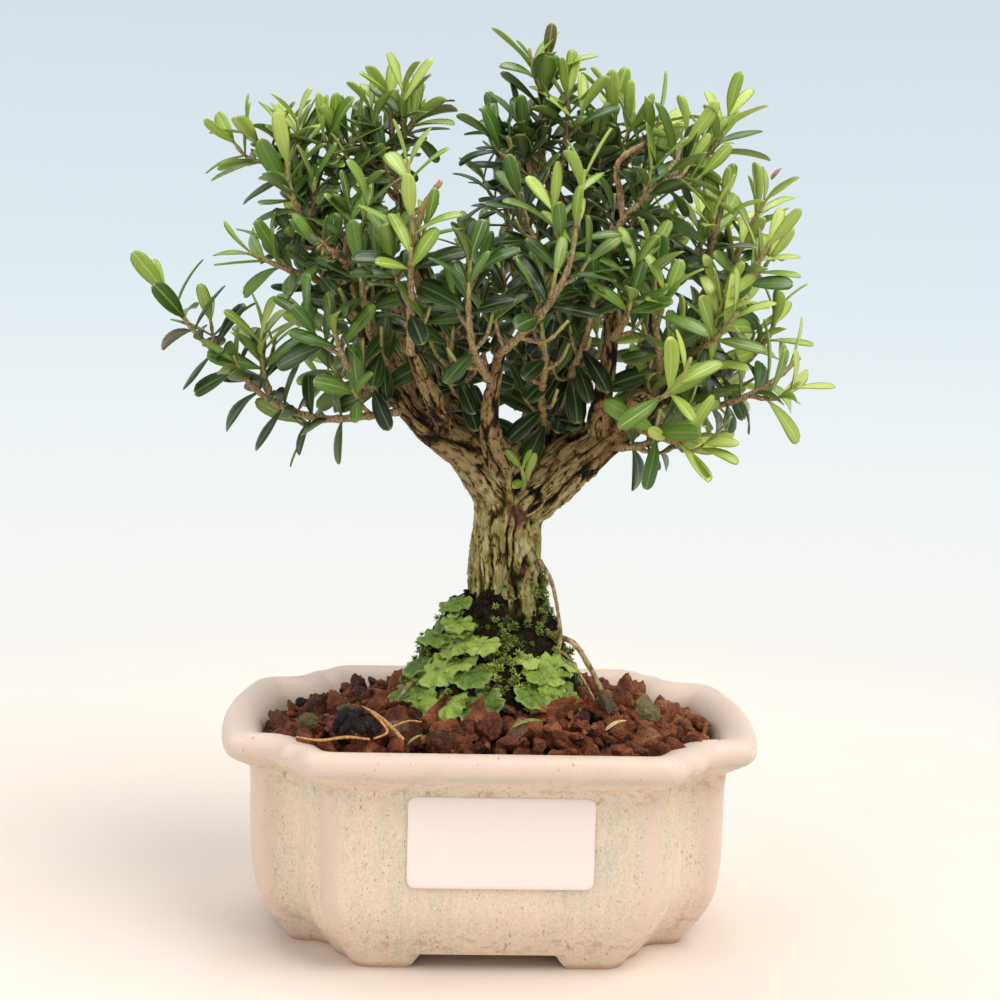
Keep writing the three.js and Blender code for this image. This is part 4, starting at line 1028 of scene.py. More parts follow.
def outline(inset):
    """The pot's outline at an inset, counter-clockwise from its right side."""
    front_half = FRONT_PANEL_HALF - DRAW_IN * inset
    notch_x = NOTCH_HALF_WIDTH - DRAW_IN * inset
    notch_y = SIDE_PANEL_HALF - inset
    front_y = RIM_HALF_DEPTH - inset
    side_x = RIM_HALF_WIDTH_AT_CORNER - inset
    bulge = RIM_HALF_WIDTH - RIM_HALF_WIDTH_AT_CORNER
    front_r, notch_r, side_r = (r - CORNER_LOSS * inset for r in (FRONT_CORNER, NOTCH_CORNER, SIDE_CORNER))

    def arc(x, y, r, start, end, steps):
        angle = np.radians(np.linspace(start, end, steps))
        return np.stack([x + r * np.cos(angle), y + r * np.sin(angle)], axis=-1)

    def bow(y):
        return side_x + bulge * (1 - (y / notch_y) ** 2)

    # The side's bow runs into its corner without a kink
    corner_y = notch_y - 0.8 * side_r
    lean = math.atan(2 * bulge * corner_y / notch_y**2)
    corner_x = bow(corner_y) - side_r * math.cos(lean)
    side_y = np.linspace(0, corner_y, 18)[:-1]
    side = np.stack([bow(side_y), side_y], axis=-1)
    corner = arc(corner_x, notch_y - side_r, side_r, math.degrees(lean), 90, 9)
    notch = arc(notch_x + notch_r, notch_y + notch_r, notch_r, 270, 180, 11)
    shoulder = arc(front_half - front_r, front_y - front_r, front_r, 0, 90, 10)
    front_x = np.linspace(front_half - front_r, 0, 27)[1:]
    front = np.stack([front_x, np.full(26, front_y)], axis=-1)
    quarter = softened(np.vstack([side, corner, notch, shoulder, front]), mix(2.3, 1.1, ease(inset, 2, 8)))
    mirrored = (quarter * [-1, 1])[::-1]
    half = np.vstack([quarter, mirrored[1:]])
    return np.vstack([half[:-1], (half * [-1, -1])[:-1]])


def foot_lift(points):
    """How far the underside is raised between the feet."""
    lift_x = ease(FRONT_ARCH[0] - np.abs(points[..., 0]), 0, FRONT_ARCH[0] - FRONT_ARCH[1])
    lift_y = ease(SIDE_ARCH[0] - np.abs(points[..., 1]), 0, SIDE_ARCH[0] - SIDE_ARCH[1])
    return FOOT_HEIGHT * np.maximum(lift_x, lift_y)


def pot_rings():
    """The pot's wall as rings, from its underside up the outside, over the lip and down inside."""
    sole = FOOT_INSET + FOOT_THICKNESS
    under = [
        (sole + 4, FOOT_HEIGHT), (sole + 0.4, FOOT_HEIGHT - 0.4), (sole, 0.4), (sole - 0.8, 0),
        (FOOT_INSET + 0.6, 0),
    ]
    rings = []
    for inset, z in np.vstack([under, chaikin(POT_OUTSIDE + POT_INSIDE, 2)]):
        ring = outline(inset)
        lift = foot_lift(ring)
        height = np.where(z < 9, np.maximum(z, 0) + lift * (1 - ease(np.array(z), 0, 9)), z)
        height = np.minimum(height, max(z, FOOT_HEIGHT))
        rings.append(np.column_stack([ring, height]))
    return np.array(rings)


def drilled(mesh):
    """The pot's mesh with its two drain holes."""
    body = placed("pot_body", mesh)
    radius = DRAIN_RADIUS * MM
    for side in (-1, 1):
        work = bmesh.new()
        bmesh.ops.create_cone(
            work, cap_ends=True, segments=48, radius1=radius, radius2=radius, depth=2 * FLOOR_TOP * MM,
        )
        drill = placed("drill", bpy.data.meshes.new("drill"))
        work.to_mesh(drill.data)
        work.free()
        drill.location = (np.array([side * DRAIN_SPACING / 2, 0, FLOOR_TOP * 0.7]) + POT_CENTRE) * MM
        cut = body.modifiers.new("drain", "BOOLEAN")
        cut.operation = "DIFFERENCE"
        cut.solver = "EXACT"
        cut.object = drill
        shaped = applied(body)
        body.modifiers.clear()
        body.data = shaped
        bpy.data.objects.remove(drill)
    mesh = body.data
    bpy.data.objects.remove(body)
    return mesh


def glaze_values(points):
    """Where the glaze is thin on ridges, pools, gathers below the lip, or is missing."""
    x, y, z = np.abs(points[:, 0]), np.abs(points[:, 1]), points[:, 2]
    outside = np.array([p for p in POT_OUTSIDE if p[1] <= 60])
    inset = np.interp(z, outside[:, 1], outside[:, 0])
    near_side = np.hypot(x - (RIM_HALF_WIDTH_AT_CORNER - inset - 1), y - (SIDE_PANEL_HALF - inset - 1.6))
    near_front = np.hypot(x - (FRONT_PANEL_HALF - DRAW_IN * inset - 2), y - (RIM_HALF_DEPTH - inset - 2))
    ridge = 1 - ease(np.minimum(near_side, near_front), 1.4, 5.2)
    lip = ease(z, 55, 58.5)
    pool = np.maximum(1 - np.abs(z - 52.5) / 6, 1 - np.abs(z - 9) / 6)
    unglazed = inside_outline(points, FOOT_INSET + 1) & (z > 1) & (z < 20)
    unglazed |= inside_outline(points, LIP_OVERHANG + 2) & (z > 16) & (z < 50)
    return {
        "thin": np.maximum(ridge * 0.9, lip * 0.85), "pool": np.clip(pool, 0, 1),
        "raw": np.where(unglazed, 1, 1 - ease(z, 0.3, 1.2)), "gathered": hill(z, 57.6, 1.3),
    }


def make_pot():
    batch = Batch()
    batch.rings(pot_rings())
    mesh = drilled(batch.mesh("pot_body"))
    set_values(mesh, glaze_values(read_vectors(mesh, "co") / MM - POT_CENTRE))
    dress("glazed_pot", mesh, glaze_look(), ["pot"], sharp=40)


LABEL_GAP = 0.3
# Each ring of the label from the pot's wall outwards: how much smaller it is, and its depth
LABEL_RINGS = ((0.05, 0), (0, 0.08), (0, 0.32), (0.12, 0.4), (1.2, 0.4))


def make_label():
    half_x, half_z = LABEL["width"] / 2, LABEL["height"] / 2
    radius = LABEL["corner"]
    rings = []
    wall = -(RIM_HALF_DEPTH - LIP_OVERHANG)
    for shrink, depth in LABEL_RINGS:
        r = radius - min(shrink, 0.5)
        angle = np.radians(np.arange(0, 360, 360 / 40))
        centre_x = np.where(np.cos(angle + 1e-6) > 0, half_x - radius, radius - half_x)
        centre_z = np.where(np.sin(angle + 1e-6) > 0, half_z - radius, radius - half_z)
        x = centre_x + r * np.cos(angle) - np.sign(centre_x) * max(shrink - 0.5, 0)
        z = centre_z + r * np.sin(angle) - np.sign(centre_z) * max(shrink - 0.5, 0)
        y = np.full(len(angle), wall - LABEL_GAP - depth)
        rings.append(np.stack([x + LABEL["centre"][0], y, z + LABEL["centre"][1]], axis=-1))
    batch = Batch()
    batch.rings(np.array(rings))
    batch.piece("blank_label", label_look(), ["label"], sharp=35)


# Soil, granules, mound, moss and liverwort

def soil_height(x, y):
    """The soil's height, heaped towards the trunk."""
    distance = np.hypot(x - 3, (y + 1) * 1.15)
    return mix(SOIL_EDGE_HEIGHT, SOIL_CROWN_HEIGHT, ease(62 - distance, 0, 40))


def inside_outline(points, inset):
    """Which points lie within the pot's outline at an inset."""
    ring = outline(inset)
    ahead = np.roll(ring, -1, axis=0)
    x, y = points[:, 0:1], points[:, 1:2]
    crosses = (ring[:, 1] > y) != (ahead[:, 1] > y)
    rise = np.where(ahead[:, 1] == ring[:, 1], 1e-9, ahead[:, 1] - ring[:, 1])
    meets = (ahead[:, 0] - ring[:, 0]) * (y - ring[:, 1]) / rise + ring[:, 0]
    return np.sum(crosses & (x < meets), axis=1) % 2 == 1


def mound_ring(z):
    """The mound's half width, half depth and shifts at a height."""
    return [np.interp(z, MOUND[:, 0], MOUND[:, k]) for k in range(1, 5)]


def mound_place(angle, z):
    """A point on the mound and its outward direction."""
    half_x, half_y, shift_x, shift_y = mound_ring(z)
    low, high = mound_ring(z - 1)[0], mound_ring(z + 1)[0]
    point = np.stack([shift_x + half_x * np.cos(angle), shift_y + half_y * np.sin(angle), z], axis=-1)
    out = np.stack([np.cos(angle), np.sin(angle), np.maximum((low - high) / 2, 0)], axis=-1)
    return point, unit(out)


def make_bed():
    """The dark fine soil that shows between the granules."""
    inset = LIP_OVERHANG + WALL + 1
    ring = outline(inset)
    rings = []
    for scale in np.linspace(1, 0.03, 34):
        x, y = ring[:, 0] * scale, ring[:, 1] * scale
        p = np.stack([x, y, np.zeros(len(x))], axis=-1)
        z = soil_height(x, y) - 0.9 + 0.9 * fractal(p / 3.1, 3, 40)
        rings.append(np.stack([x, y, z], axis=-1))
    bottom = np.column_stack([ring * 0.985, np.full(len(ring), FLOOR_TOP + 3.0)])
    batch = Batch()
    batch.rings(np.array([bottom] + rings), moss=0.0)
    batch.piece("soil_bed", peat_look("soil_dust"), ["soil"])


PLAIN = -1
# Depths of a stone's dents, and how closely they follow each other
STONE_DENTS = ((0.12, 2.2), (0.1, 4.6), (0.07, 9.5))


def ball(subdivisions):
    bm = bmesh.new()
    bmesh.ops.create_icosphere(bm, subdivisions=subdivisions, radius=1)
    points = np.array([v.co for v in bm.verts])
    faces = np.array([[v.index for v in f.verts] for f in bm.faces])
    bm.free()
    return unit(points), faces


def stone(batch, rng, level, centre, size, tone, hue):
    """A crushed stone: a ball cut by flat faces, pitted, squeezed and turned at random.

    The level says how fine it is. The hue is PLAIN for lava, or from 0 to 1 for an odd stone.
    """
    directions, faces = BALLS[level]
    planes = unit(rng.normal(size=(9, 3)))
    reach = rng.uniform(0.5, 1.0, 9) / np.maximum(directions @ planes.T, 1e-3)
    shape = directions * np.minimum(reach.min(axis=1), 1.2)[:, None]
    spot = rng.uniform(0, 90, 3)
    dents = sum(depth * noise(shape * rate + spot, 3) for depth, rate in STONE_DENTS)
    shape = shape * (1 + dents)[:, None]
    turn, _ = np.linalg.qr(rng.normal(size=(3, 3)))
    shape = (shape * rng.uniform((1.0, 0.66, 0.55), (1.45, 0.95, 0.8))) @ turn
    wound = faces if np.linalg.det(turn) > 0 else faces[:, ::-1]
    # Dented hollows are painted darker and lumps lighter, painted shade and highlight, over noise in the
    # stone's own colour
    grain = tone + 0.22 * noise(shape * 1.3 + spot, 5) + 1.1 * dents
    batch.add(centre + shape * size, wound, tone=np.clip(grain, 0, 1), hue=max(hue, 0), plain=float(hue < 0))


def scattered(rng, pitch, stray, inset):
    """Places on a loose triangular net over the soil, clear of the mound."""
    rows = np.arange(-60, 60, pitch * math.sqrt(3) / 2)
    spots = []
    for i, y in enumerate(rows):
        x = np.arange(-80, 80, pitch) + (i % 2) * pitch / 2
        spots.append(np.column_stack([x, np.full(len(x), y)]))
    spots = np.vstack(spots)
    spots += rng.uniform(-stray, stray, spots.shape)
    spots = spots[inside_outline(spots, LIP_OVERHANG + WALL + inset)]
    return spots[np.hypot((spots[:, 0] - 1) / 24, (spots[:, 1] + 0.5) / 22) > 1]


BALLS = {level: ball(level) for level in (2, 3, 4)}
# Layers of stones: pitch, stray, distance from the wall, least and greatest size, lift and fineness
STONE_LAYERS = [
    (5.8, 1.6, 2.2, 2.4, 3.6, 0.0, 2), (10.6, 4.0, 3.4, 3.2, 5.2, 2.0, 4),
    (9.0, 4.2, 2.6, 1.9, 3.1, 3.2, 3), (5.2, 2.5, 1.6, 0.8, 1.6, 2.6, 2),
]
ODD_SHARE = 0.05
# Odd stones among the lava, and plain ones in the corners: place, size and hue
ODD_STONES = [
    ((-37, -34, 67.4), 2.6, 0.05), ((-33.4, -35.6, 67), 2.3, 0.1), ((-40.6, -32, 67.6), 2.4, 0.02),
    ((-37.6, -31, 68.6), 2.2, 0.0), ((-34.6, -32.2, 68.8), 1.8, 0.08), ((-39.6, -35.8, 66.6), 1.9, 0.03),
    ((-36, -37, 66.4), 1.8, 0.12), ((-42.6, -34.4, 66.6), 1.7, 0.0), ((-31.6, -37.4, 66.4), 1.7, 0.05),
    ((-41, -29.4, 68.6), 1.9, 0.05), ((-38.2, -33, 69.4), 1.5, 0.1), ((-50.9, -34.4, 67), 3.2, 0.6),
    ((-40, -26.8, 69), 2.8, 0.55), ((42.9, -24.9, 71), 3.8, 0.66), ((-26, -36, 66.5), 3.0, 0.85),
    ((6, -38, 66), 3.4, 0.95), ((33, -20, 70.5), 3.2, 0.36), ((-50, -40.5, 62.5), 3.4, PLAIN),
    ((-45, -42.5, 62.5), 3.2, PLAIN), ((-55.5, -34, 62.5), 3.2, PLAIN), ((50, -40.5, 62.5), 3.4, PLAIN),
    ((45, -42.5, 62.5), 3.2, PLAIN), ((55.5, -34, 62.5), 3.2, PLAIN), ((-60, -29, 62), 2.8, PLAIN),
]


def make_granules():
    rng = np.random.default_rng(SEEDS["granules"])
    batch = Batch()
    for pitch, stray, inset, low, high, lift, level in STONE_LAYERS:
        spots = scattered(rng, pitch, stray, inset)
        base = soil_height(spots[:, 0], spots[:, 1]) + lift + 1.3 * ease(spots[:, 1], 0, 30)
        for (x, y), z in zip(spots, base):
            centre = np.array([x, y, z + rng.uniform(-0.7, 0.9)])
            hue = rng.uniform(0, 1) if rng.uniform() < ODD_SHARE else PLAIN
            # Stones lighter towards the right are painted light from that side, added to their random tone
            tone = np.clip(rng.normal(0.56, 0.2) + 0.09 * x / SIDE_PANEL_HALF, 0, 1)
            stone(batch, rng, level, centre, rng.uniform(low, high), tone, hue)
    for place, size, hue in ODD_STONES:
        stone(batch, rng, 3, np.array(place), size, 0.5, hue)
    batch.piece("lava_granules", lava_look(), sharp=24)


def clods(point):
    """How far the peat stands out or in."""
    return 1.5 * fractal(point / 5.2, 3, 60) + 0.6 * fractal(point / 1.5, 2, 64)


def settled(z):
    """The share of the clods' height that is left, less where the mound meets the bark."""
    return 1 - 0.7 * ease(z, 93, 100)


def laid_bare(angle, z):
    """How much of the mound is gone where the trunk's ridges reach down through it, from 0 to 1."""
    return hill((np.degrees(angle) + 62 + 180) % 360, 180, 19) * ease(z, 87, 94)


CRUMBS = 190
MOSS_PLANTS = 2300


def make_mound():
    around, rows = 190, 72
    angle = circle(around)
    rings, moss = [], []
    for z in np.linspace(MOUND[0, 0], MOUND[-1, 0] + 1.5, rows):
        point, out = mound_place(angle, np.full(around, min(z, MOUND[-1, 0])))
        point[:, 2] = z
        bare = 6.5 * laid_bare(angle, np.full(around, z))
        rings.append(point + out * (clods(point) * settled(z) - bare)[:, None])
        green = noise(point / 7.0, 70) + 0.5 * np.cos(angle - math.radians(-60))
        moss.append(ease(green, 0.0, 0.9))
    batch = Batch()
    batch.rings(np.array(rings), moss=np.array(moss))
    batch.piece("peat_mound", peat_look("peat"), ["moss_mound"])


def make_crumbs():
    """Peat crumbs over the mound and against the bark, so that neither ends in a smooth edge."""
    rng = np.random.default_rng(SEEDS["crumbs"])
    batch = Batch()
    for _ in range(CRUMBS):
        angle = rng.uniform(0, 2 * math.pi)
        z = rng.uniform(88, 100) if rng.uniform() < 0.75 else rng.uniform(68, 88)
        if laid_bare(angle, z) > 0.15:
            continue
        point, out = mound_place(np.array([angle]), np.array([min(z, 99)]))
        point[0, 2] = z
        place = point[0] + out[0] * (clods(point)[0] * settled(z) + rng.uniform(-0.5, 0.2))
        stone(batch, rng, 2, place, rng.uniform(0.6, 1.5), 0.5, PLAIN)
    batch.piece("peat_crumbs", peat_look("peat_crumb"))


def make_moss():
    """Star moss in tufts, thickest at the mound's front and right and up the trunk's right side."""
    rng = np.random.default_rng(SEEDS["moss"])
    angle = rng.uniform(0, 2 * math.pi, MOSS_PLANTS)
    z = rng.uniform(66, 104, MOSS_PLANTS)
    point, out = mound_place(angle, np.minimum(z, 99))
    point[:, 2] = z
    degrees = np.degrees(angle) % 360
    front = hill(degrees, 276, 20) + 1.3 * hill(degrees, 342, 24) * ease(z, 84, 92)
    front += 0.7 * hill(degrees, 310, 40) * (1 - ease(z, 84, 90))
    back = 0.4 * (np.abs(degrees - 100) < 80) * (z < 94)
    left = 0.2 * (np.abs(degrees - 222) < 60) * (z < 86)
    clump = ease(noise(point / 4.5, 81), -0.3, 0.35)
    chance = np.clip(front * 0.8 + back + left, 0, 1) * (0.15 + 0.85 * clump) * (1 - laid_bare(angle, z))
    chance = chance * (1 - ease(z, 98, 104) * (np.abs(degrees - 345) > 32))
    keep = rng.uniform(size=MOSS_PLANTS) < chance
    point, out = point[keep], out[keep]
    point = point + out * (clods(point) * settled(point[:, 2]) + 0.2)[:, None]
    batch = Batch()
    for centre, normal in zip(point, out):
        tuft(batch, centre, normal, rng)
    batch.piece("star_moss", moss_look())


def tuft(batch, centre, normal, rng):
    """One plant of star moss: narrow pointed leaves round a short stem, tilted up to the light."""
    axis = unit(normal + np.array([0, 0, 0.5]) + rng.normal(0, 0.2, 3))
    first = unit(np.cross(axis, [0.3, 0.9, 0.2]))
    second = np.cross(axis, first)
    size = rng.uniform(1.0, 2.0)
    height = rng.uniform(0.2, 1.1)
    tone = rng.uniform(0.1, 0.95)
    for layer, (leaves, open_angle) in enumerate(((7, 68), (5, 38))):
        for k in range(leaves):
            turn = 2 * math.pi * (k + 0.5 * layer) / leaves + rng.uniform(-0.2, 0.2)
            opened = math.radians(open_angle + rng.uniform(-10, 10))
            outward = first * math.cos(turn) + second * math.sin(turn)
            along = axis * math.cos(opened) + outward * math.sin(opened)
            across = np.cross(axis, outward)
            keel = np.cross(along, across)
            foot = centre + axis * (height + 0.25 * layer)
            length = size * (1 - 0.15 * layer) * rng.uniform(0.85, 1.15)
            middle = foot + along * length * 0.42
            points = [
                foot, middle + across * 0.19 * size, middle - across * 0.19 * size,
                middle - keel * 0.1 * size, foot + along * length,
            ]
            faces = [[0, 2, 1], [0, 1, 3], [0, 3, 2], [4, 1, 2], [4, 3, 1], [4, 2, 3]]
            batch.add(np.array(points), np.array(faces), tone=tone, along=np.array([0, 0.5, 0.5, 0.5, 1]))


def plate(batch, centre, lift, radius, lobes, rng, bright):
    """A lobed, waved plate of liverwort, its rings inwards over the top and outwards again below."""
    across = unit(np.cross([0, 0, 1], lift))
    up = np.cross(lift, across)
    tilt = math.radians(rng.uniform(8, 30))
    lift_t = lift * math.cos(tilt) + up * math.sin(tilt)
    up_t = up * math.cos(tilt) - lift * math.sin(tilt)
    around, rings = 56, 7
    angle = circle(around)
    phase = rng.uniform(0, 2 * math.pi)
    lobe = np.abs(np.cos(lobes * angle / 2 + phase + 0.5 * np.sin(angle + phase)))
    scallop = 0.045 * np.cos(angle * rng.integers(17, 23) + phase)
    edge = radius * (0.74 + 0.26 * lobe**0.45 + scallop + 0.12 * np.cos(angle * 2 + phase * 3))
    # bright adds painted light to a patch's tone
    tone = rng.uniform(0.1, 0.95) + bright
    top, under = [], []
    for k in range(rings):
        share = (k + 0.3) / (rings - 0.7)
        wave = 0.85 * share**2 * np.cos(lobes * angle + 2 * phase) + 0.4 * share * np.cos(3 * angle + phase)
        cup = -1.5 * share**3 + 0.6 * share
        height = (wave + cup) * radius / 6
        ring = edge[:, None] * share * (across * np.cos(angle)[:, None] + up_t * np.sin(angle)[:, None])
        top.append(centre + ring + lift_t * height[:, None])
        under.append(top[-1] - lift_t * mix(0.7, 0.12, share))
    layers = np.array(top[::-1] + under)
    rows = len(layers)
    ring_value = np.concatenate([np.linspace(1, 0, rings), np.linspace(0, 1, rings)])
    under_value = np.concatenate([np.zeros(rings), np.ones(rings)])
    points = np.vstack([layers.reshape(-1, 3), layers[rings - 1].mean(0), layers[rings].mean(0)])
    shell = [
        grid(rings, around)[:, ::-1],
        grid(rings, around, start=rings * around)[:, ::-1],
        fan(np.arange(around) + (rings - 1) * around, rows * around),
        fan(np.arange(around) + rings * around, rows * around + 1, True),
    ]
    top_rim = np.arange(around)
    low_rim = np.arange(around) + (rows - 1) * around
    seam = np.stack([top_rim, low_rim, np.roll(low_rim, -1), np.roll(top_rim, -1)], axis=-1)
    values = {
        "ring": np.concatenate([np.repeat(ring_value, around), [0, 0]]),
        "under": np.concatenate([np.repeat(under_value, around), [0, 1]]),
        "tone": tone,
    }
    batch.add(points, *shell, seam, **values)


# Painted light: the right patch's plates are coloured lighter, as it faces the lamp
LIVERWORT_PAINTED_LIGHT = {"left": 0.0, "right": 0.3}


def make_liverwort(side):
    rng = np.random.default_rng(SEEDS[side])
    batch = Batch()
    spots = []
    for degrees, z, radius in LIVERWORT[side]:
        spots.append((degrees, z, radius * 0.95, 2.2))
        shift, rise = rng.uniform(-9, 9), rng.uniform(-4, 4)
        spots.append((degrees + shift, z + rise, radius * rng.uniform(0.5, 0.8), 1.8))
    for degrees, z, radius, stand_off in spots:
        point, out = mound_place(np.array([math.radians(degrees)]), np.array([max(z, 66.5)]))
        lift = unit(out[0] + np.array([0, 0, 0.2]) + rng.normal(0, 0.12, 3))
        centre = point[0] + out[0] * (stand_off + rng.uniform(-0.6, 0.9))
        plate(batch, centre, lift, radius, int(rng.integers(5, 9)), rng, LIVERWORT_PAINTED_LIGHT[side])
    batch.piece("liverwort_patch_" + side, liverwort_look(), ["liverwort_" + side])


# Small dry things

# Routes of x, y, z and radius
TWIG_BITS = [
    [(37.1, -30, 225, 0.65), (30, -30, 219.6, 0.8), (31, -30.5, 211, 0.8), (31.8, -30.8, 204, 0.8)],
    [(-16.8, -44, 212.4, 0.7), (-21, -46, 205.8, 0.9), (-23.8, -49.5, 196, 0.9)],
    [(-47.1, -34, 195.6, 0.5), (-42, -32, 191.4, 0.6), (-38, -20, 186.6, 0.7), (-37, -7, 176, 0.8)],
    [(9, -10.8, 122, 0.3), (12.6, -12.2, 124.5, 0.35), (14.6, -11.4, 127.6, 0.2)],
]
DRY_ROOTS = [
    [(-35.9, -30.6, 71, 0.25), (-32.4, -34.6, 70.3, 0.4), (-29.2, -38.2, 69, 0.5), (-24, -46.5, 66.2, 0.45)],
    [(-33.6, -33.2, 70.6, 0.3), (-30, -38.5, 68.6, 0.36), (-28.4, -43, 67, 0.34), (-31.8, -45.6, 66, 0.25)],
    [
        (-52.6, -44, 65.8, 0.25), (-46, -46.4, 65.6, 0.38), (-39, -45.2, 66.2, 0.38),
        (-32.9, -44.9, 65.6, 0.25),
    ],
    [(-27, -40.4, 68, 0.28), (-23, -38, 69, 0.25), (-19.4, -37.2, 68.6, 0.2)],
]
# Place and size
FLOWERS = [((-47.5, -34.3, 196.2), 2.8), ((-44.6, -33.6, 193.6), 2.3), ((-41.6, -32.2, 191), 1.8)]
# Thin flat things: from, to, half their width, and how far each bows upwards
SCRAPS = [
    ((4.6, -41.5, 68.2), (13.6, -38, 69.6), 1.3, 1.2), ((30.2, -41.4, 68), (36.4, -37.8, 70), 1.0, 0.9),
    ((77, -2, 219), (80, 0, 222.6), 1.2, 0.4), ((-23, -44.8, 64.2), (-19, -43.6, 66.8), 0.9, 0.5),
    ((8.9, -10.6, 120.6), (6.4, -11.4, 117.4), 1.6, 0.6), ((10.6, -10.4, 107.6), (9.6, -11, 104.4), 0.9, 0.5),
]


def scrap(batch, start, end, half, bow):
    """A thin flat thing from one point to another, half its width and bowed upwards."""
    start, end = np.array(start, float), np.array(end, float)
    rows, sides = 9, 10
    t = np.linspace(0, 1, rows)[:, None]
    along = unit(end - start)
    across = unit(np.cross(along, [0, 0, 1]))
    up = np.cross(across, along)
    centre = start + (end - start) * t + up * bow * (4 * t * (1 - t))
    angle = circle(sides)
    width = half * np.sqrt(np.clip(4 * t * (1 - t), 0.02, 1))
    ring = across * np.cos(angle)[:, None] + up * 0.22 * np.sin(angle)[:, None]
    batch.rings(centre[:, None] + ring[None] * width[..., None])


def make_litter():
    """Dry twigs, roots, flower heads and scraps that lie about or hang in the crown."""
    rng = np.random.default_rng(SEEDS["litter"])
    for name, routes, step, rough, channel, dark, light in (
        ("dry_twig", TWIG_BITS, 0.7, 0.3, 200, (112, 78, 48), (204, 164, 116)),
        ("dry_root", DRY_ROOTS, 0.8, 0.25, 220, (158, 98, 52), (224, 172, 112)),
    ):
        batch = Batch()
        for k, route in enumerate(routes):
            tube(batch, route, 8, step, rough=rough, channel=channel + k)
        batch.piece(name + "s", dry_look(name, dark, light))
    batch = Batch()
    for centre, size in FLOWERS:
        directions, _ = BALLS[2]
        for direction in directions[::2]:
            way = unit(direction + rng.normal(0, 0.2, 3))
            middle = np.array(centre) + way * size * rng.uniform(0.5, 0.8)
            scrap(batch, np.array(centre), middle + way * size * 0.35, 0.42, 0.15)
    batch.piece("dried_flowers", dry_look("dried_flower", (128, 88, 56), (212, 172, 122)))
    batch = Batch()
    for start, end, half, bow in SCRAPS:
        scrap(batch, start, end, half, bow)
    batch.piece("dry_scraps", scrap_look())


# Wood

# Place and size, and for burls how far each stands out
WOUNDS = [((6.7, -10, 122.3), 3.2), ((9.4, -10.5, 106.2), 2.0)]
BURLS = [((-31, -11, 160), 5, 1.6), ((-45, -3, 185), 4, 1.2), ((2, -9, 139), 6, 1.2), ((-5, -8, 103), 5, 1.0)]


def limb_values(points, route, channel):
    """For points near a limb: signed distance, outward direction, and the bark there."""
    way = Way(route)
    s = np.arange(0, way.length, 1.0)
    centre, tangent, normal, side, radius = way.at(s)
    gap = np.linalg.norm(points[:, None] - centre[None], axis=-1) - radius[None] * 0.2
    nearest = gap.argmin(axis=1)
    step = np.clip(np.sum((points - centre[nearest]) * tangent[nearest], axis=-1), -0.5, 0.5)
    place = s[nearest] + step
    centre, tangent, normal, side, radius = way.at(place)
    away = points - centre
    distance = np.linalg.norm(away, axis=-1)
    out = away / np.maximum(distance, 1e-6)[:, None]
    twist = 0.012 * place
    u = np.sum(out * normal, axis=-1) * radius
    w = np.sum(out * side, axis=-1) * radius
    u, w = u * np.cos(twist) - w * np.sin(twist), u * np.sin(twist) + w * np.cos(twist)
    coordinates = np.stack([u, w, place + 40 * channel], axis=-1)
    return distance - radius, out, coordinates, radius


def bark_relief(coordinates, radius):
    """The bark's height from 0 in a furrow to 1 on a ridge, a number for each plate, and its depth."""
    size = 0.62 + 0.034 * radius.mean()
    q = coordinates / size
    warp = np.stack([noise(q / (5.0, 5.0, 8.0), 90 + k) for k in range(2)], axis=-1)
    fret = np.stack([noise(q / (1.3, 1.3, 2.2), 94 + k) for k in range(2)], axis=-1)
    q[:, :2] += 1.6 * warp + 0.3 * fret
    broad = ease(np.abs(noise(q / (3.1, 3.1, 19.0), 100)), 0.0, 0.22)
    split = ease(np.abs(noise(q / (1.7, 1.7, 9.0), 101)), 0.0, 0.2)
    first, second, key = cells(q / (2.3, 2.3, 8.5), 102)
    plate_edge = ease(second - first, 0.02, 0.18)
    fine = fractal(q / (0.6, 0.6, 2.4), 2, 106)
    height = broad * (0.5 + 0.24 * split) + plate_edge * (0.06 + 0.22 * key) + 0.1 * fine
    return np.clip(height, 0, 1.3), key, np.clip(0.23 * radius, 0.16, 2.4)


# The wood's triangles, the height above which leaves hide it, and the share it may lose there
WOOD_TRIANGLES = 196000
HIDDEN_HEIGHT = 158
HIDDEN_LOSS = 0.6


def thinned(mesh, triangles, hidden):
    """A mesh brought down to a number of triangles, the hidden parts first and then the flattest."""
    item = placed("thinned", mesh)
    group = item.vertex_groups.new(name="hidden")
    for index in hidden:
        group.add([int(index)], 1.0, "REPLACE")
    first = item.modifiers.new("first", "DECIMATE")
    first.ratio = 1 - HIDDEN_LOSS * len(hidden) / len(mesh.vertices)
    first.vertex_group = group.name
    first.vertex_group_factor = 0.4
    fewer = applied(item)
    fewer.calc_loop_triangles()
    item.modifiers.clear()
    item.vertex_groups.clear()
    item.data = fewer
    second = item.modifiers.new("second", "DECIMATE")
    second.ratio = min(1, triangles / len(fewer.loop_triangles))
    last = applied(item)
    bpy.data.objects.remove(item)
    return last


def largest_island(mesh):
    """Deletes all of a mesh but its largest connected piece."""
    work = bmesh.new()
    work.from_mesh(mesh)
    unseen = set(work.verts)
    islands = []
    while unseen:
        island = [unseen.pop()]
        for vertex in island:
            for edge in vertex.link_edges:
                other = edge.other_vert(vertex)
                if other in unseen:
                    unseen.remove(other)
                    island.append(other)
        islands.append(island)
    islands.sort(key=len)
    loose = [vertex for island in islands[:-1] for vertex in island]
    bmesh.ops.delete(work, geom=loose, context="VERTS")
    work.to_mesh(mesh)
    work.free()
    return mesh


# The size of the grid on which the limbs are joined
VOXEL = 0.38
# How far from a limb's middle its bark is worked out, and how softly bark passes from limb to limb
LIMB_REACH = 14
FAR = 99.0
BLEND = 0.7
LEAST_SHARE = 0.03


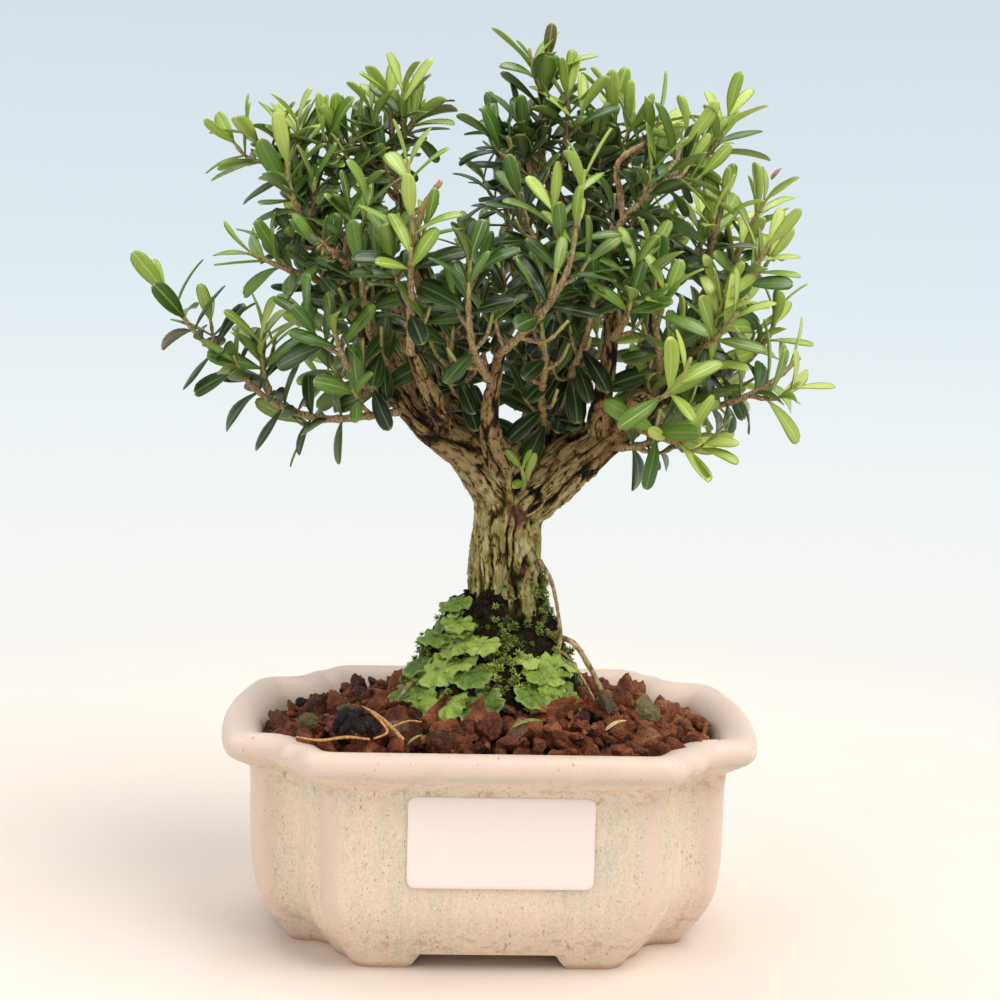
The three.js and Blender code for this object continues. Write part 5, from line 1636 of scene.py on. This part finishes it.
def wood_core(routes):
    """The limbs as smooth round bars, joined into one closed mesh."""
    batch = Batch()
    for route in routes:
        way = Way(route)
        rows = max(4, int(way.length / 2.5))
        point, _, normal, side, radius = way.at(np.linspace(0, way.length, rows))
        batch.rings(point[:, None] + spokes(normal, side, 28) * radius[:, None, None])
    core = placed("wood_core", batch.mesh("wood_core"))
    remesh = core.modifiers.new("voxels", "REMESH")
    remesh.mode = "VOXEL"
    remesh.voxel_size = VOXEL * MM
    smooth = core.modifiers.new("soften", "SMOOTH")
    smooth.factor = 0.5
    smooth.iterations = 6
    joined = applied(core)
    bpy.data.objects.remove(core)
    return joined


def near_limbs(points, routes):
    """Each point's distance from each limb, and for each limb the points near it with their bark."""
    near = np.full((len(routes), len(points)), FAR)
    found = []
    for k, route in enumerate(routes):
        low = np.array(route)[:, :3].min(0) - LIMB_REACH
        high = np.array(route)[:, :3].max(0) + LIMB_REACH
        chosen = np.where(np.all((points > low) & (points < high), axis=1))[0]
        near[k, chosen], *bark = limb_values(points[chosen], route, k)
        found.append((chosen, *bark))
    return near, found


def barked(points, routes):
    """How far each point moves to raise the bark, with its height, plate number and grain there."""
    near, found = near_limbs(points, routes)
    weights = np.exp(-(near - near.min(axis=0)) / BLEND)
    weights[weights < LEAST_SHARE] = 0
    weights /= weights.sum(axis=0)
    best = weights.argmax(axis=0)
    sure = ease(weights.max(axis=0), 0.6, 0.98)
    move, grain = np.zeros(points.shape), np.zeros(points.shape)
    height, tone = np.zeros(len(points)), np.zeros(len(points))
    for k, (chosen, *bark) in enumerate(found):
        share = weights[k, chosen]
        used = share > 0
        chosen, out, coordinates, radius, share = (a[used] for a in (chosen, *bark, share))
        ridge, key, depth = bark_relief(coordinates, radius)
        lump = 0.06 * radius * noise(coordinates / (5.5, 5.5, 9.0), 140)
        reach = (ridge - 0.6) * depth + lump
        move[chosen] += out * (share * (reach - near[k, chosen] * sure[chosen]))[:, None]
        height[chosen] += share * ridge
        tone[chosen] += share * key
        dominant = best[chosen] == k
        grain[chosen[dominant]] = coordinates[dominant]
    return move, height, tone, grain


def scarred(points, normals):
    """How far each point moves for burls and wounds, and how much it lies in a wound."""
    move = np.zeros(points.shape)
    for centre, size, rise in BURLS:
        move += normals * (rise * hill(np.linalg.norm(points - centre, axis=1), 0, size))[:, None]
    wound = np.zeros(len(points))
    for centre, size in WOUNDS:
        gap = np.linalg.norm(points - centre, axis=1) / size
        ragged = gap + 0.5 * noise(points / 1.4, 150) + 0.3 * noise(points / 0.6, 151)
        wound = np.maximum(wound, 1 - ease(ragged, 0.6, 1.0))
        lip = 0.9 * np.exp(-((gap - 0.85) ** 2) * 8) - 1.1 * np.exp(-((gap * 1.8) ** 2))
        move += normals * lip[:, None]
    return move, wound


def make_wood():
    routes = [TRUNK, *LIMBS.values()]
    mesh = wood_core(routes)
    points = read_vectors(mesh, "co") / MM - POT_CENTRE
    move, height, tone, grain = barked(points, routes)
    scars, wound = scarred(points, read_vectors(mesh, "normal"))
    points = points + move + scars
    x, y, z = points.T
    algae = ease(-z, -135, -92) * 0.9 + 0.12 + 0.25 * noise(points / 9.0, 160)
    # The trunk is darkened low on its front left, just above the mound
    dark_foot = (1 - ease(z, 97, 105)) * ease(-x, -6, 2) * ease(-y, -4, 4)
    dark_foot = dark_foot * ease(noise(points / 3.0, 161), -0.4, 0.3)
    set_points(mesh, points)
    set_values(mesh, {
        "height": np.clip(height, 0, 1), "tone": tone, "algae": np.clip(algae, 0, 1),
        "wound": wound, "dark_foot": np.clip(dark_foot, 0, 1),
        "limb": ease(z + 9 * noise(points / 8.0, 162), 122, 142), "grain": grain * MM,
    })
    mesh.update()
    hidden = np.where(z > HIDDEN_HEIGHT)[0]
    mesh = largest_island(thinned(mesh, WOOD_TRIANGLES, hidden))
    dress("tree_wood", mesh, bark_look(), ["trunk"])


ROOT_SHARE = 0.82


def make_roots():
    batch = Batch()
    for k, route in enumerate(AERIAL_ROOTS):
        slim = [(*point, ROOT_SHARE * radius) for *point, radius in route]
        tube(batch, slim, 12, 0.8, rough=0.22, channel=170 + k)
    batch.piece("aerial_roots", root_look())


# Leaves

# Rows across a leaf from foot to tip, half its width at each, and its columns from side to side
LEAF_ROWS = np.array([0, 0.1, 0.26, 0.42, 0.56, 0.69, 0.81, 0.91, 0.985])
LEAF_HALF = np.array([0.1, 0.24, 0.6, 0.86, 0.98, 1.0, 0.94, 0.77, 0.42])
LEAF_COLUMNS = np.array([-1, -0.5, 0, 0.5, 1.0])


def leaf_faces():
    rows, columns = len(LEAF_ROWS), len(LEAF_COLUMNS)
    top = grid(rows, columns, wrap=False)
    rib = rows * columns + np.arange(rows)
    left = np.arange(rows) * columns
    right = left + columns - 1
    below_left = np.stack([left[:-1], left[1:], rib[1:], rib[:-1]], axis=-1)
    below_right = np.stack([rib[:-1], rib[1:], right[1:], right[:-1]], axis=-1)
    foot = [[k + 1, k, rib[0]] for k in range(columns - 1)]
    last = (rows - 1) * columns
    end = [[last + k, last + k + 1, rib[-1]] for k in range(columns - 1)]
    return [np.vstack([top, below_left, below_right]), np.array(foot + end)]


def leaf_field(leaves):
    """Points and values of many leaves at once; each leaf is a closed, folded and bent blade."""
    rows, columns = len(LEAF_ROWS), len(LEAF_COLUMNS)
    count = len(leaves["length"])
    t = LEAF_ROWS[None, :]
    bend = leaves["bend"][:, None]
    arc = np.where(np.abs(bend) < 1e-3, 1e-3, bend)
    length = leaves["length"][:, None]
    ahead = length * np.sin(arc * t) / arc
    drop = length * (1 - np.cos(arc * t)) / arc
    along, face, root = leaves["along"][:, None], leaves["face"][:, None], leaves["root"][:, None]
    across = np.cross(leaves["along"], leaves["face"])[:, None]
    centre = root + along * ahead[..., None] - face * drop[..., None]
    turned = face * np.cos(arc * t)[..., None] + along * np.sin(arc * t)[..., None]
    twist = (leaves["twist"][:, None] * t)[..., None]
    side = across * np.cos(twist) + turned * np.sin(twist)
    top = turned * np.cos(twist) - across * np.sin(twist)
    half = LEAF_HALF[None, :] * leaves["width"][:, None] / 2
    c = LEAF_COLUMNS[None, None, :]
    fold = leaves["fold"][:, None, None]
    wave = leaves["wave"][:, None, None] * np.sin(t * 7 + leaves["tone"][:, None] * 6)[..., None]
    rise = half[..., None] * (fold * np.abs(c) ** 1.15 - 0.12 * np.abs(c) ** 5 + wave * c)
    body = 0.26 * (1 - np.abs(c) ** 2) * np.minimum(1, LEAF_HALF * 1.5)[None, :, None]
    notch = np.zeros((rows, columns))
    notch[-1] = [-0.012, 0.008, -0.005, 0.008, -0.012]
    push = notch[None] * length[..., None]
    ahead_now = along * np.cos(arc * t)[..., None] - face * np.sin(arc * t)[..., None]
    blade = (
        centre[:, :, None]
        + side[:, :, None] * (half[..., None] * c)[..., None]
        + top[:, :, None] * (rise + body)[..., None]
        + ahead_now[:, :, None] * push[..., None]
    )
    rib = centre - top * (0.16 + 0.34 * (1 - t[0]) ** 2)[None, :, None]
    points = np.concatenate([blade.reshape(count, -1, 3), rib], axis=1)
    shape = (rows, columns)
    values = {
        "along": np.concatenate([np.broadcast_to(LEAF_ROWS[:, None], shape).ravel(), LEAF_ROWS]),
        "across": np.concatenate([np.broadcast_to(LEAF_COLUMNS, shape).ravel(), np.zeros(rows)]),
        "under": np.concatenate([np.zeros(rows * columns), np.ones(rows)]),
    }
    return points, values


CROWN_CENTRE = np.array([0, 6, 182])
CROWN_REACH = np.array([92, 84, 74])


def exposure(points):
    """From 0 deep inside the crown to 1 at its outside."""
    return ease(np.linalg.norm((points - CROWN_CENTRE) / CROWN_REACH, axis=-1), 0.45, 0.95)


def tone_with_painted_light(tone, x):
    """Leaf tones with painted light: lighter on the right and far left, painted shade in the middle; withered
    leaves keep theirs.
    """
    # Painted light on the right and far left, painted shade in the crown's middle
    shift = 0.3 * ease(x, 25, 60) - 0.16 * hill(x, 0, 28) + 0.1 * ease(-x, 30, 55)
    return np.where(tone > WITHERED, tone, np.clip(tone + shift, 0, WITHERED - 0.02))


def pairs(way, seed, size, gap, bare, vigour):
    """Leaves in opposite pairs a quarter turn apart, upright at the tip and spreading below."""
    last = max(1, int((way.length - bare) // gap))
    pair = np.repeat(np.arange(1, last + 1), 2)
    half = np.tile([0, 1], last)
    key = seed * 200 + pair * 2 + half
    point, tangent, normal, side, _ = way.at(np.minimum(bare + pair * gap, way.length - TIP_CLEARANCE))
    below = last - pair
    turn = np.radians((pair % 2) * 90 + half * 180 + 30 * (jitter(key, 12) - 0.5) + seed * 37)[:, None]
    lean = 28 + 48 * (1 - np.exp(-below / 2.0))
    opened = np.radians(lean + 20 * (jitter(key, 13) - 0.5))[:, None]
    outward = normal * np.cos(turn) + side * np.sin(turn)
    along = tangent * np.cos(opened) + outward * np.sin(opened)
    face = tangent * np.sin(opened) - outward * np.cos(opened)
    # Each blade turns part of the way to the light above and outside the crown
    light = unit(point - CROWN_CENTRE) * 0.5 + np.array([0, 0, 0.45])
    light[:, 1] -= np.where(point[:, 1] < 15, mix(0.8, 0.25, ease(point[:, 2], 165, 205)), 0)
    face = face + light * np.minimum(0.7 + 0.22 * below, 1.3)[:, None]
    face = unit(face - along * dot(face, along))
    turned_away = (face @ np.array([0, -1, 0.35]) < -0.45) & (point[:, 1] < 15)
    face = np.where(turned_away[:, None], -face, face)
    scale = size * np.select([below == 0, below == 1], [0.82, 0.95], 1) * mix(0.8, 1.12, jitter(key, 14))
    # Painted light: leaves on the right are made younger and so lighter, as lit from that side; this also
    # changes their size and shape
    painted_sun = 1 + 0.75 * ease(point[:, 0], 20, 60)
    spring = vigour * painted_sun * mix(0.22, 1.12, exposure(point))
    young = spring * hill(below + 0.7 * jitter(key, 15), 0, 2.9)
    age = np.clip(young + 0.2 * (jitter(key, 16) - 0.4), 0, 1)
    # Old leaves are shorter and rounder, young ones slender
    length = LEAF_LENGTH * scale * mix(0.86, 1.0, ease(age, 0.1, 0.6))
    return {
        "root": point, "along": along, "face": face, "length": length,
        "width": length * mix(0.31, 0.43, jitter(key, 17)) * (1 - 0.26 * age),
        "bend": mix(0.0, 0.85, jitter(key, 18)) * (1 - 0.4 * age),
        "fold": mix(0.08, 0.36, jitter(key, 19)) + 0.2 * age,
        "twist": mix(-0.45, 0.45, jitter(key, 20)), "wave": mix(0, 0.08, jitter(key, 21)),
        "age": age, "tone": tone_with_painted_light(jitter(key, 22), point[:, 0]),
    }


# Small sprays that fill the crown's outline between the shoots
SPRAYS = {
    "spray_left_edge": [(-56, -2, 211), (-56, -4, 220), (-57, -5, 227)],
    "spray_left_top": [(-47, 0, 199), (-47, -4, 214), (-47, -6, 228)],
    "spray_left_inner": [(-29, 5, 214), (-37, -2, 222), (-41, -5, 229)],
    "spray_left_peak": [(-32, 3, 224), (-27, 0, 230), (-24, -2, 235)],
    "spray_middle": [(12, 0, 218), (6, 2, 226), (0, 2, 231)],
    "spray_peak": [(15, 0, 212), (18, -2, 228), (18, -4, 243)],
    "spray_right_peak": [(26, 12, 210), (38, 4, 226), (45, 0, 235)],
    "spray_right_top": [(43, -24, 214), (54, -16, 222), (60, -12, 228)],
    "spray_front": [(-9, -12, 158), (-7, -30, 176), (-6, -38, 190)],
    "spray_front_right": [(30, -25, 172), (33, -38, 180), (34, -44, 192)],
}

REGIONS = {
    "left_low_spray": ["left_low", "left_front", "left_outer_low", "left_inner_front"],
    "left_crown_leaves": ["left_outer_top", "left_outer_front", "left_crown", "left_middle", "top_left"],
    "front_leaves": ["front_left_long", "front_middle", "front_centre_long", "inner_front", "centre_front"],
    "crown_leaves": [
        "apex", "crown_front", "crown_right", "upper_front", "upper_right", "top_middle", "centre_right",
    ],
    "right_leaves": [
        "right_front_long", "right_top", "right_outer_top", "right_outer", "right_side", "right_low",
        "right_low_front", "right_inner_front", "right_middle",
    ],
    "back_left_leaves": [
        "back_left_outer", "back_left_upper", "back_left_top", "back_left_low", "back_inner_left",
        "back_middle", "back_top",
    ],
    "back_right_leaves": [
        "back_right_inner", "back_right_top", "back_right_upper", "back_right_outer", "back_right_low",
        "back_low",
    ],
    "young_leaves": list(YOUNG),
}
REGION_SPRAYS = {
    "left_crown_leaves": ["spray_left_edge", "spray_left_top", "spray_left_inner", "spray_left_peak"],
    "front_leaves": ["spray_front", "spray_front_right"],
    "crown_leaves": ["spray_middle", "spray_peak", "spray_right_peak"],
    "right_leaves": ["spray_right_top"],
}

# Millimetres of shoot for each side twig; the others have the usual number
USUAL_TWIG_GAP = 8
TWIG_GAPS = {
    "top_middle": 5.5, "back_inner_left": 6.5, "back_right_inner": 6.5, "back_top": 5.5, "back_middle": 6.5,
    "left_low": 20, "fork": 20, "front_centre_long": 7.5, "front_middle": 7, "right_low": 22,
    "right_side": 18, "front_left_long": 8.5, "left_outer_low": 15, "left_outer_top": 11,
    "left_outer_front": 11, "left_crown": 11,
    "left_middle": 10, "top_left": 11, "left_front": 11, "right_outer": 20, "right_outer_top": 20,
    "right_top": 18, "right_front_long": 15, "right_middle": 16, "right_inner_front": 13,
    "back_right_top": 20, "back_right_upper": 24, "back_right_outer": 24,
    "back_right_low": 18, "back_low": 15, "back_left_outer": 14, "back_left_upper": 12, "back_left_low": 16,
}


def shoot_leaves(name, seed, route, stems):
    """All leaves of a shoot and its side twigs; the stems go into a batch."""
    young = name in YOUNG
    way = Way(route)
    vigour = 1.3 if young else 0.95 + 0.5 * (jitter(seed, 30) - 0.5)
    bright = 0.7 if young else 0.0
    if young:
        # The stem starts a little lower than its leaves, inside the wood
        foot = np.array(route[0]) - 2.6 * unit(np.array(route[1]) - np.array(route[0]))
        route = [tuple(foot), *route]
    radii = np.linspace(*((0.75, 0.4) if young else (1.15, 0.6)), len(route))
    tube(
        stems, [(*p, r) for p, r in zip(route, radii)], 8, 0.95, rough=0.12, channel=seed, nodes=PAIR_STEP,
        age=lambda s: np.clip(bright + 1.5 * s - 0.75, 0, 1),
    )
    found = [pairs(way, seed, YOUNG_SIZES.get(name, 1.0), PAIR_STEP, BARE_STEM, vigour)]
    if young:
        return found
    twigs = max(2, int(round(way.length / TWIG_GAPS.get(name, USUAL_TWIG_GAP))))
    for k in range(twigs):
        key = seed * 17 + k
        s = way.length * (0.08 + 0.82 * (k + 0.4 * jitter(key, 31)) / twigs)
        point, tangent, normal, side, _ = (a[0] for a in way.at([s]))
        turn = math.radians(137.5 * k + seed * 53)
        outward = normal * math.cos(turn) + side * math.sin(turn)
        direction = unit(tangent * 0.72 + outward * 0.75 + np.array([0, 0, 0.15]))
        length = mix(10, 20, jitter(key, 32)) * (1 - 0.25 * s / way.length)
        bend = unit(direction * 0.7 + np.array([0, 0, 0.6]) + 0.2 * tangent)
        elbow = point + direction * length * 0.5
        twig = [(*point, 0.65), (*elbow, 0.5), (*(elbow + bend * length * 0.5), 0.42)]
        twig_way = tube(
            stems, twig, 6, 1.0, rough=0.1, channel=key, nodes=TWIG_PAIR_STEP,
            age=lambda s: np.clip(1.5 * s - 0.4, 0, 1),
        )
        spring = vigour * mix(0.6, 1.15, jitter(key, 33))
        found.append(pairs(twig_way, 60 + key, 0.92, TWIG_PAIR_STEP, BARE_TWIG, spring))
    return found


def kept(root):
    """Whether each leaf is there: few grow low in the crown's middle, where the limbs show."""
    low = ease(-root[:, 2], -186, -172) * ease(-np.abs(root[:, 0] - 2), -52, -34) * ease(-root[:, 1], 2, 16)
    return hash_of(root) > 0.75 * low


# How far leaves stay inside the model's box, and the first number of the sprays
BOX_MARGIN = 0.3
FIRST_SPRAY = 50


def make_foliage(look):
    """All leaves, region by region, and their stems."""
    names = list(SHOOTS)
    stems = Batch()
    faces = leaf_faces()
    size = len(LEAF_ROWS) * (len(LEAF_COLUMNS) + 1)
    for region, members in REGIONS.items():
        found = []
        for name in members:
            found += shoot_leaves(name, names.index(name), SHOOTS[name], stems)
            if name == "left_low":
                found += shoot_leaves("fork", names.index(name) + len(names), FORK, stems)
        for name in REGION_SPRAYS.get(region, []):
            found += shoot_leaves(name, FIRST_SPRAY + list(SPRAYS).index(name), SPRAYS[name], stems)
        leaves = {key: np.concatenate([f[key] for f in found]) for key in found[0]}
        points, values = leaf_field(leaves)
        fits = np.all((points > BOX_LOW + BOX_MARGIN) & (points < BOX_HIGH - BOX_MARGIN), axis=(1, 2))
        if region != "young_leaves":
            fits &= kept(leaves["root"])
        points = points[fits]
        count = len(points)
        start = np.arange(count)[:, None, None] * size
        batch = Batch()
        batch.add(
            points.reshape(-1, 3),
            *[(f[None] + start).reshape(-1, f.shape[1]) for f in faces],
            along=np.tile(values["along"], count), across=np.tile(values["across"], count),
            under=np.tile(values["under"], count),
            age=np.repeat(leaves["age"][fits], size), tone=np.repeat(leaves["tone"][fits], size),
        )
        batch.piece(region, look, ["shoot_" + name for name in members])
    stems.piece("stems", stem_look())


def colour_screens():
    look = screen_look()
    for side in ("left", "right"):
        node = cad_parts["drain_screen_" + side]
        node.data.materials.clear()
        node.data.materials.append(look.material)


make_camera()
make_sky()
for name, settings in LIGHTS.items():
    area_light(name, *settings)
make_floor()
leaf = leaf_look("leaf")
make_pot()
make_label()
colour_screens()
make_bed()
make_granules()
make_mound()
make_crumbs()
make_moss()
for side in ("left", "right"):
    make_liverwort(side)
make_wood()
make_roots()
make_litter()
make_foliage(leaf)

bpy.context.scene.view_settings.view_transform = "Standard"
